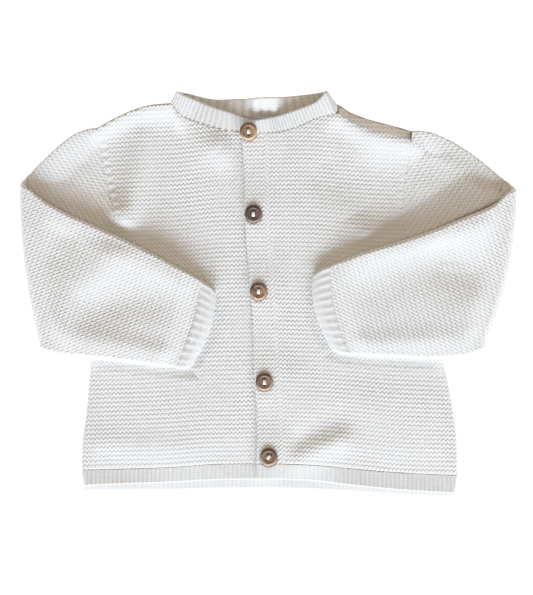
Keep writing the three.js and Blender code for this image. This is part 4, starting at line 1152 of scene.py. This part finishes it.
def turned_button(index):
    """A dished disc with two thread holes."""
    angle = np.arange(BUTTON_SIDES) / BUTTON_SIDES * TURN
    radius, ring = np.meshgrid(BUTTON_PROFILE[:, 0], angle, indexing="ij")
    x, y = radius * np.cos(ring), radius * np.sin(ring)
    height = np.broadcast_to(BUTTON_PROFILE[:, 1:], radius.shape) * THINNED
    for hole_y in (-HOLE_AT, HOLE_AT):
        hole = HOLE_DEEP * (1 - smooth(np.hypot(x, y - hole_y), 0.7, 1.0))
        height[:HOLLOW_RINGS] -= hole[:HOLLOW_RINGS]
    table_x, table_y, floor = on_button(index, x, y)
    points = together(table_x, table_y, floor + height).reshape(-1, 3)
    piece = make_piece(f"button_{index + 1}_turned", points, grid_faces(0, *radius.shape, wrap=True),
                       together(x, y).reshape(-1, 2), np.arange(len(points)),
                       wood_material(*WOODS[index]))
    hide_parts(f"button_{index + 1}")


def button_thread(index):
    """The strands of thread that pass over a button between its holes."""
    curve = bpy.data.curves.new(f"button_{index + 1}_thread", "CURVE")
    curve.dimensions = "3D"
    curve.bevel_depth = 0.00036
    curve.bevel_resolution = 3
    for strand in STRANDS:
        spline = curve.splines.new("NURBS")
        spline.points.add(len(STRAND_ROUTE) - 1)
        for point, (along, height) in zip(spline.points, STRAND_ROUTE):
            gathered = strand * (1.0 if abs(along) < 1.5 else 0.75)
            x, y, floor = on_button(index, gathered, along)
            point.co = (*place([x, y, floor + height]), 1.0)
        spline.use_endpoint_u = True
        spline.order_u = 3
    curve.materials.append(thread_yarn)
    piece = add(curve.name, curve)
    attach(piece, "root")


for index in range(len(BUTTONS)):
    turned_button(index)
    button_thread(index)

# ---- Table, light and camera, in metres ----


def table_top(half_size=4.0):
    mesh = bpy.data.meshes.new("table_top")
    corners = [(x * half_size, y * half_size, 0) for x, y in ((-1, -1), (1, -1), (1, 1), (-1, 1))]
    mesh.from_pydata(corners, [], [(0, 1, 2, 3)])
    n = Nodes("table_white")
    n.surface(Base_Color=(0.6, 0.6, 0.6, 1), Roughness=0.9, Specular_IOR_Level=0.0,
              Emission_Color=(1, 1, 1, 1), Emission_Strength=1.3)
    mesh.materials.append(n.material)
    table = add("table_top", mesh)
    table.location.z = -0.0002


def window(azimuth=math.radians(4), elevation=math.radians(18), distance=4.0):
    """A wide, low, cool light from beyond the hem."""
    light = bpy.data.lights.new("window", "AREA")
    light.shape = "RECTANGLE"
    light.size, light.size_y = 5.0, 1.5
    light.energy = 446
    light.color = (0.81, 0.96, 1.15)
    lamp = add("window", light)
    level = math.cos(elevation)
    direction = Vector((math.sin(azimuth) * level, -math.cos(azimuth) * level, math.sin(elevation)))
    lamp.location = direction * distance
    lamp.rotation_euler = (-direction).to_track_quat("-Z", "Y").to_euler()


def room():
    """Warm light from all round."""
    world = bpy.data.worlds.new("room")
    world.use_nodes = True
    background = world.node_tree.nodes["Background"].inputs
    background["Color"].default_value = (1.0, 0.84, 0.65, 1)
    background["Strength"].default_value = 0.495
    bpy.context.scene.world = world


FILM_WHITE = 1.6  # light this bright is shown white
FILM_CURVE = [(0.2, 0.2), (0.45, 0.45), (0.68, 0.67), (0.85, 0.8), (1.0, 0.88), (1.2, 0.945), (1.4, 0.985)]


def film():
    """Plain colours, with the highlights rolled off softly up to the white of the table."""
    view = bpy.context.scene.view_settings
    view.view_transform = "Standard"
    view.use_curve_mapping = True
    curves = view.curve_mapping
    curves.white_level = (FILM_WHITE, FILM_WHITE, FILM_WHITE)
    for light, shown in FILM_CURVE:
        curves.curves[3].points.new(light / FILM_WHITE, shown)
    curves.update()


CAMERA_AWAY = 2.5
CAMERA_ABOVE = 0.008  # the height on the garment at which the picture's size is taken
SENSOR = 36.0
FRAME_TALL = 0.4308  # what the picture takes in from bottom to top


def camera_over(x, y):
    data = bpy.data.cameras.new("camera")
    data.sensor_width = SENSOR
    data.lens = SENSOR * (CAMERA_AWAY - CAMERA_ABOVE) / FRAME_TALL
    data.clip_start, data.clip_end = 0.05, 20
    camera = add("camera", data)
    camera.location = (*place([x, y, 0])[:2], CAMERA_AWAY)
    bpy.context.scene.camera = camera


table_top()
window()
room()
film()
camera_over(-1.4, -1.8)
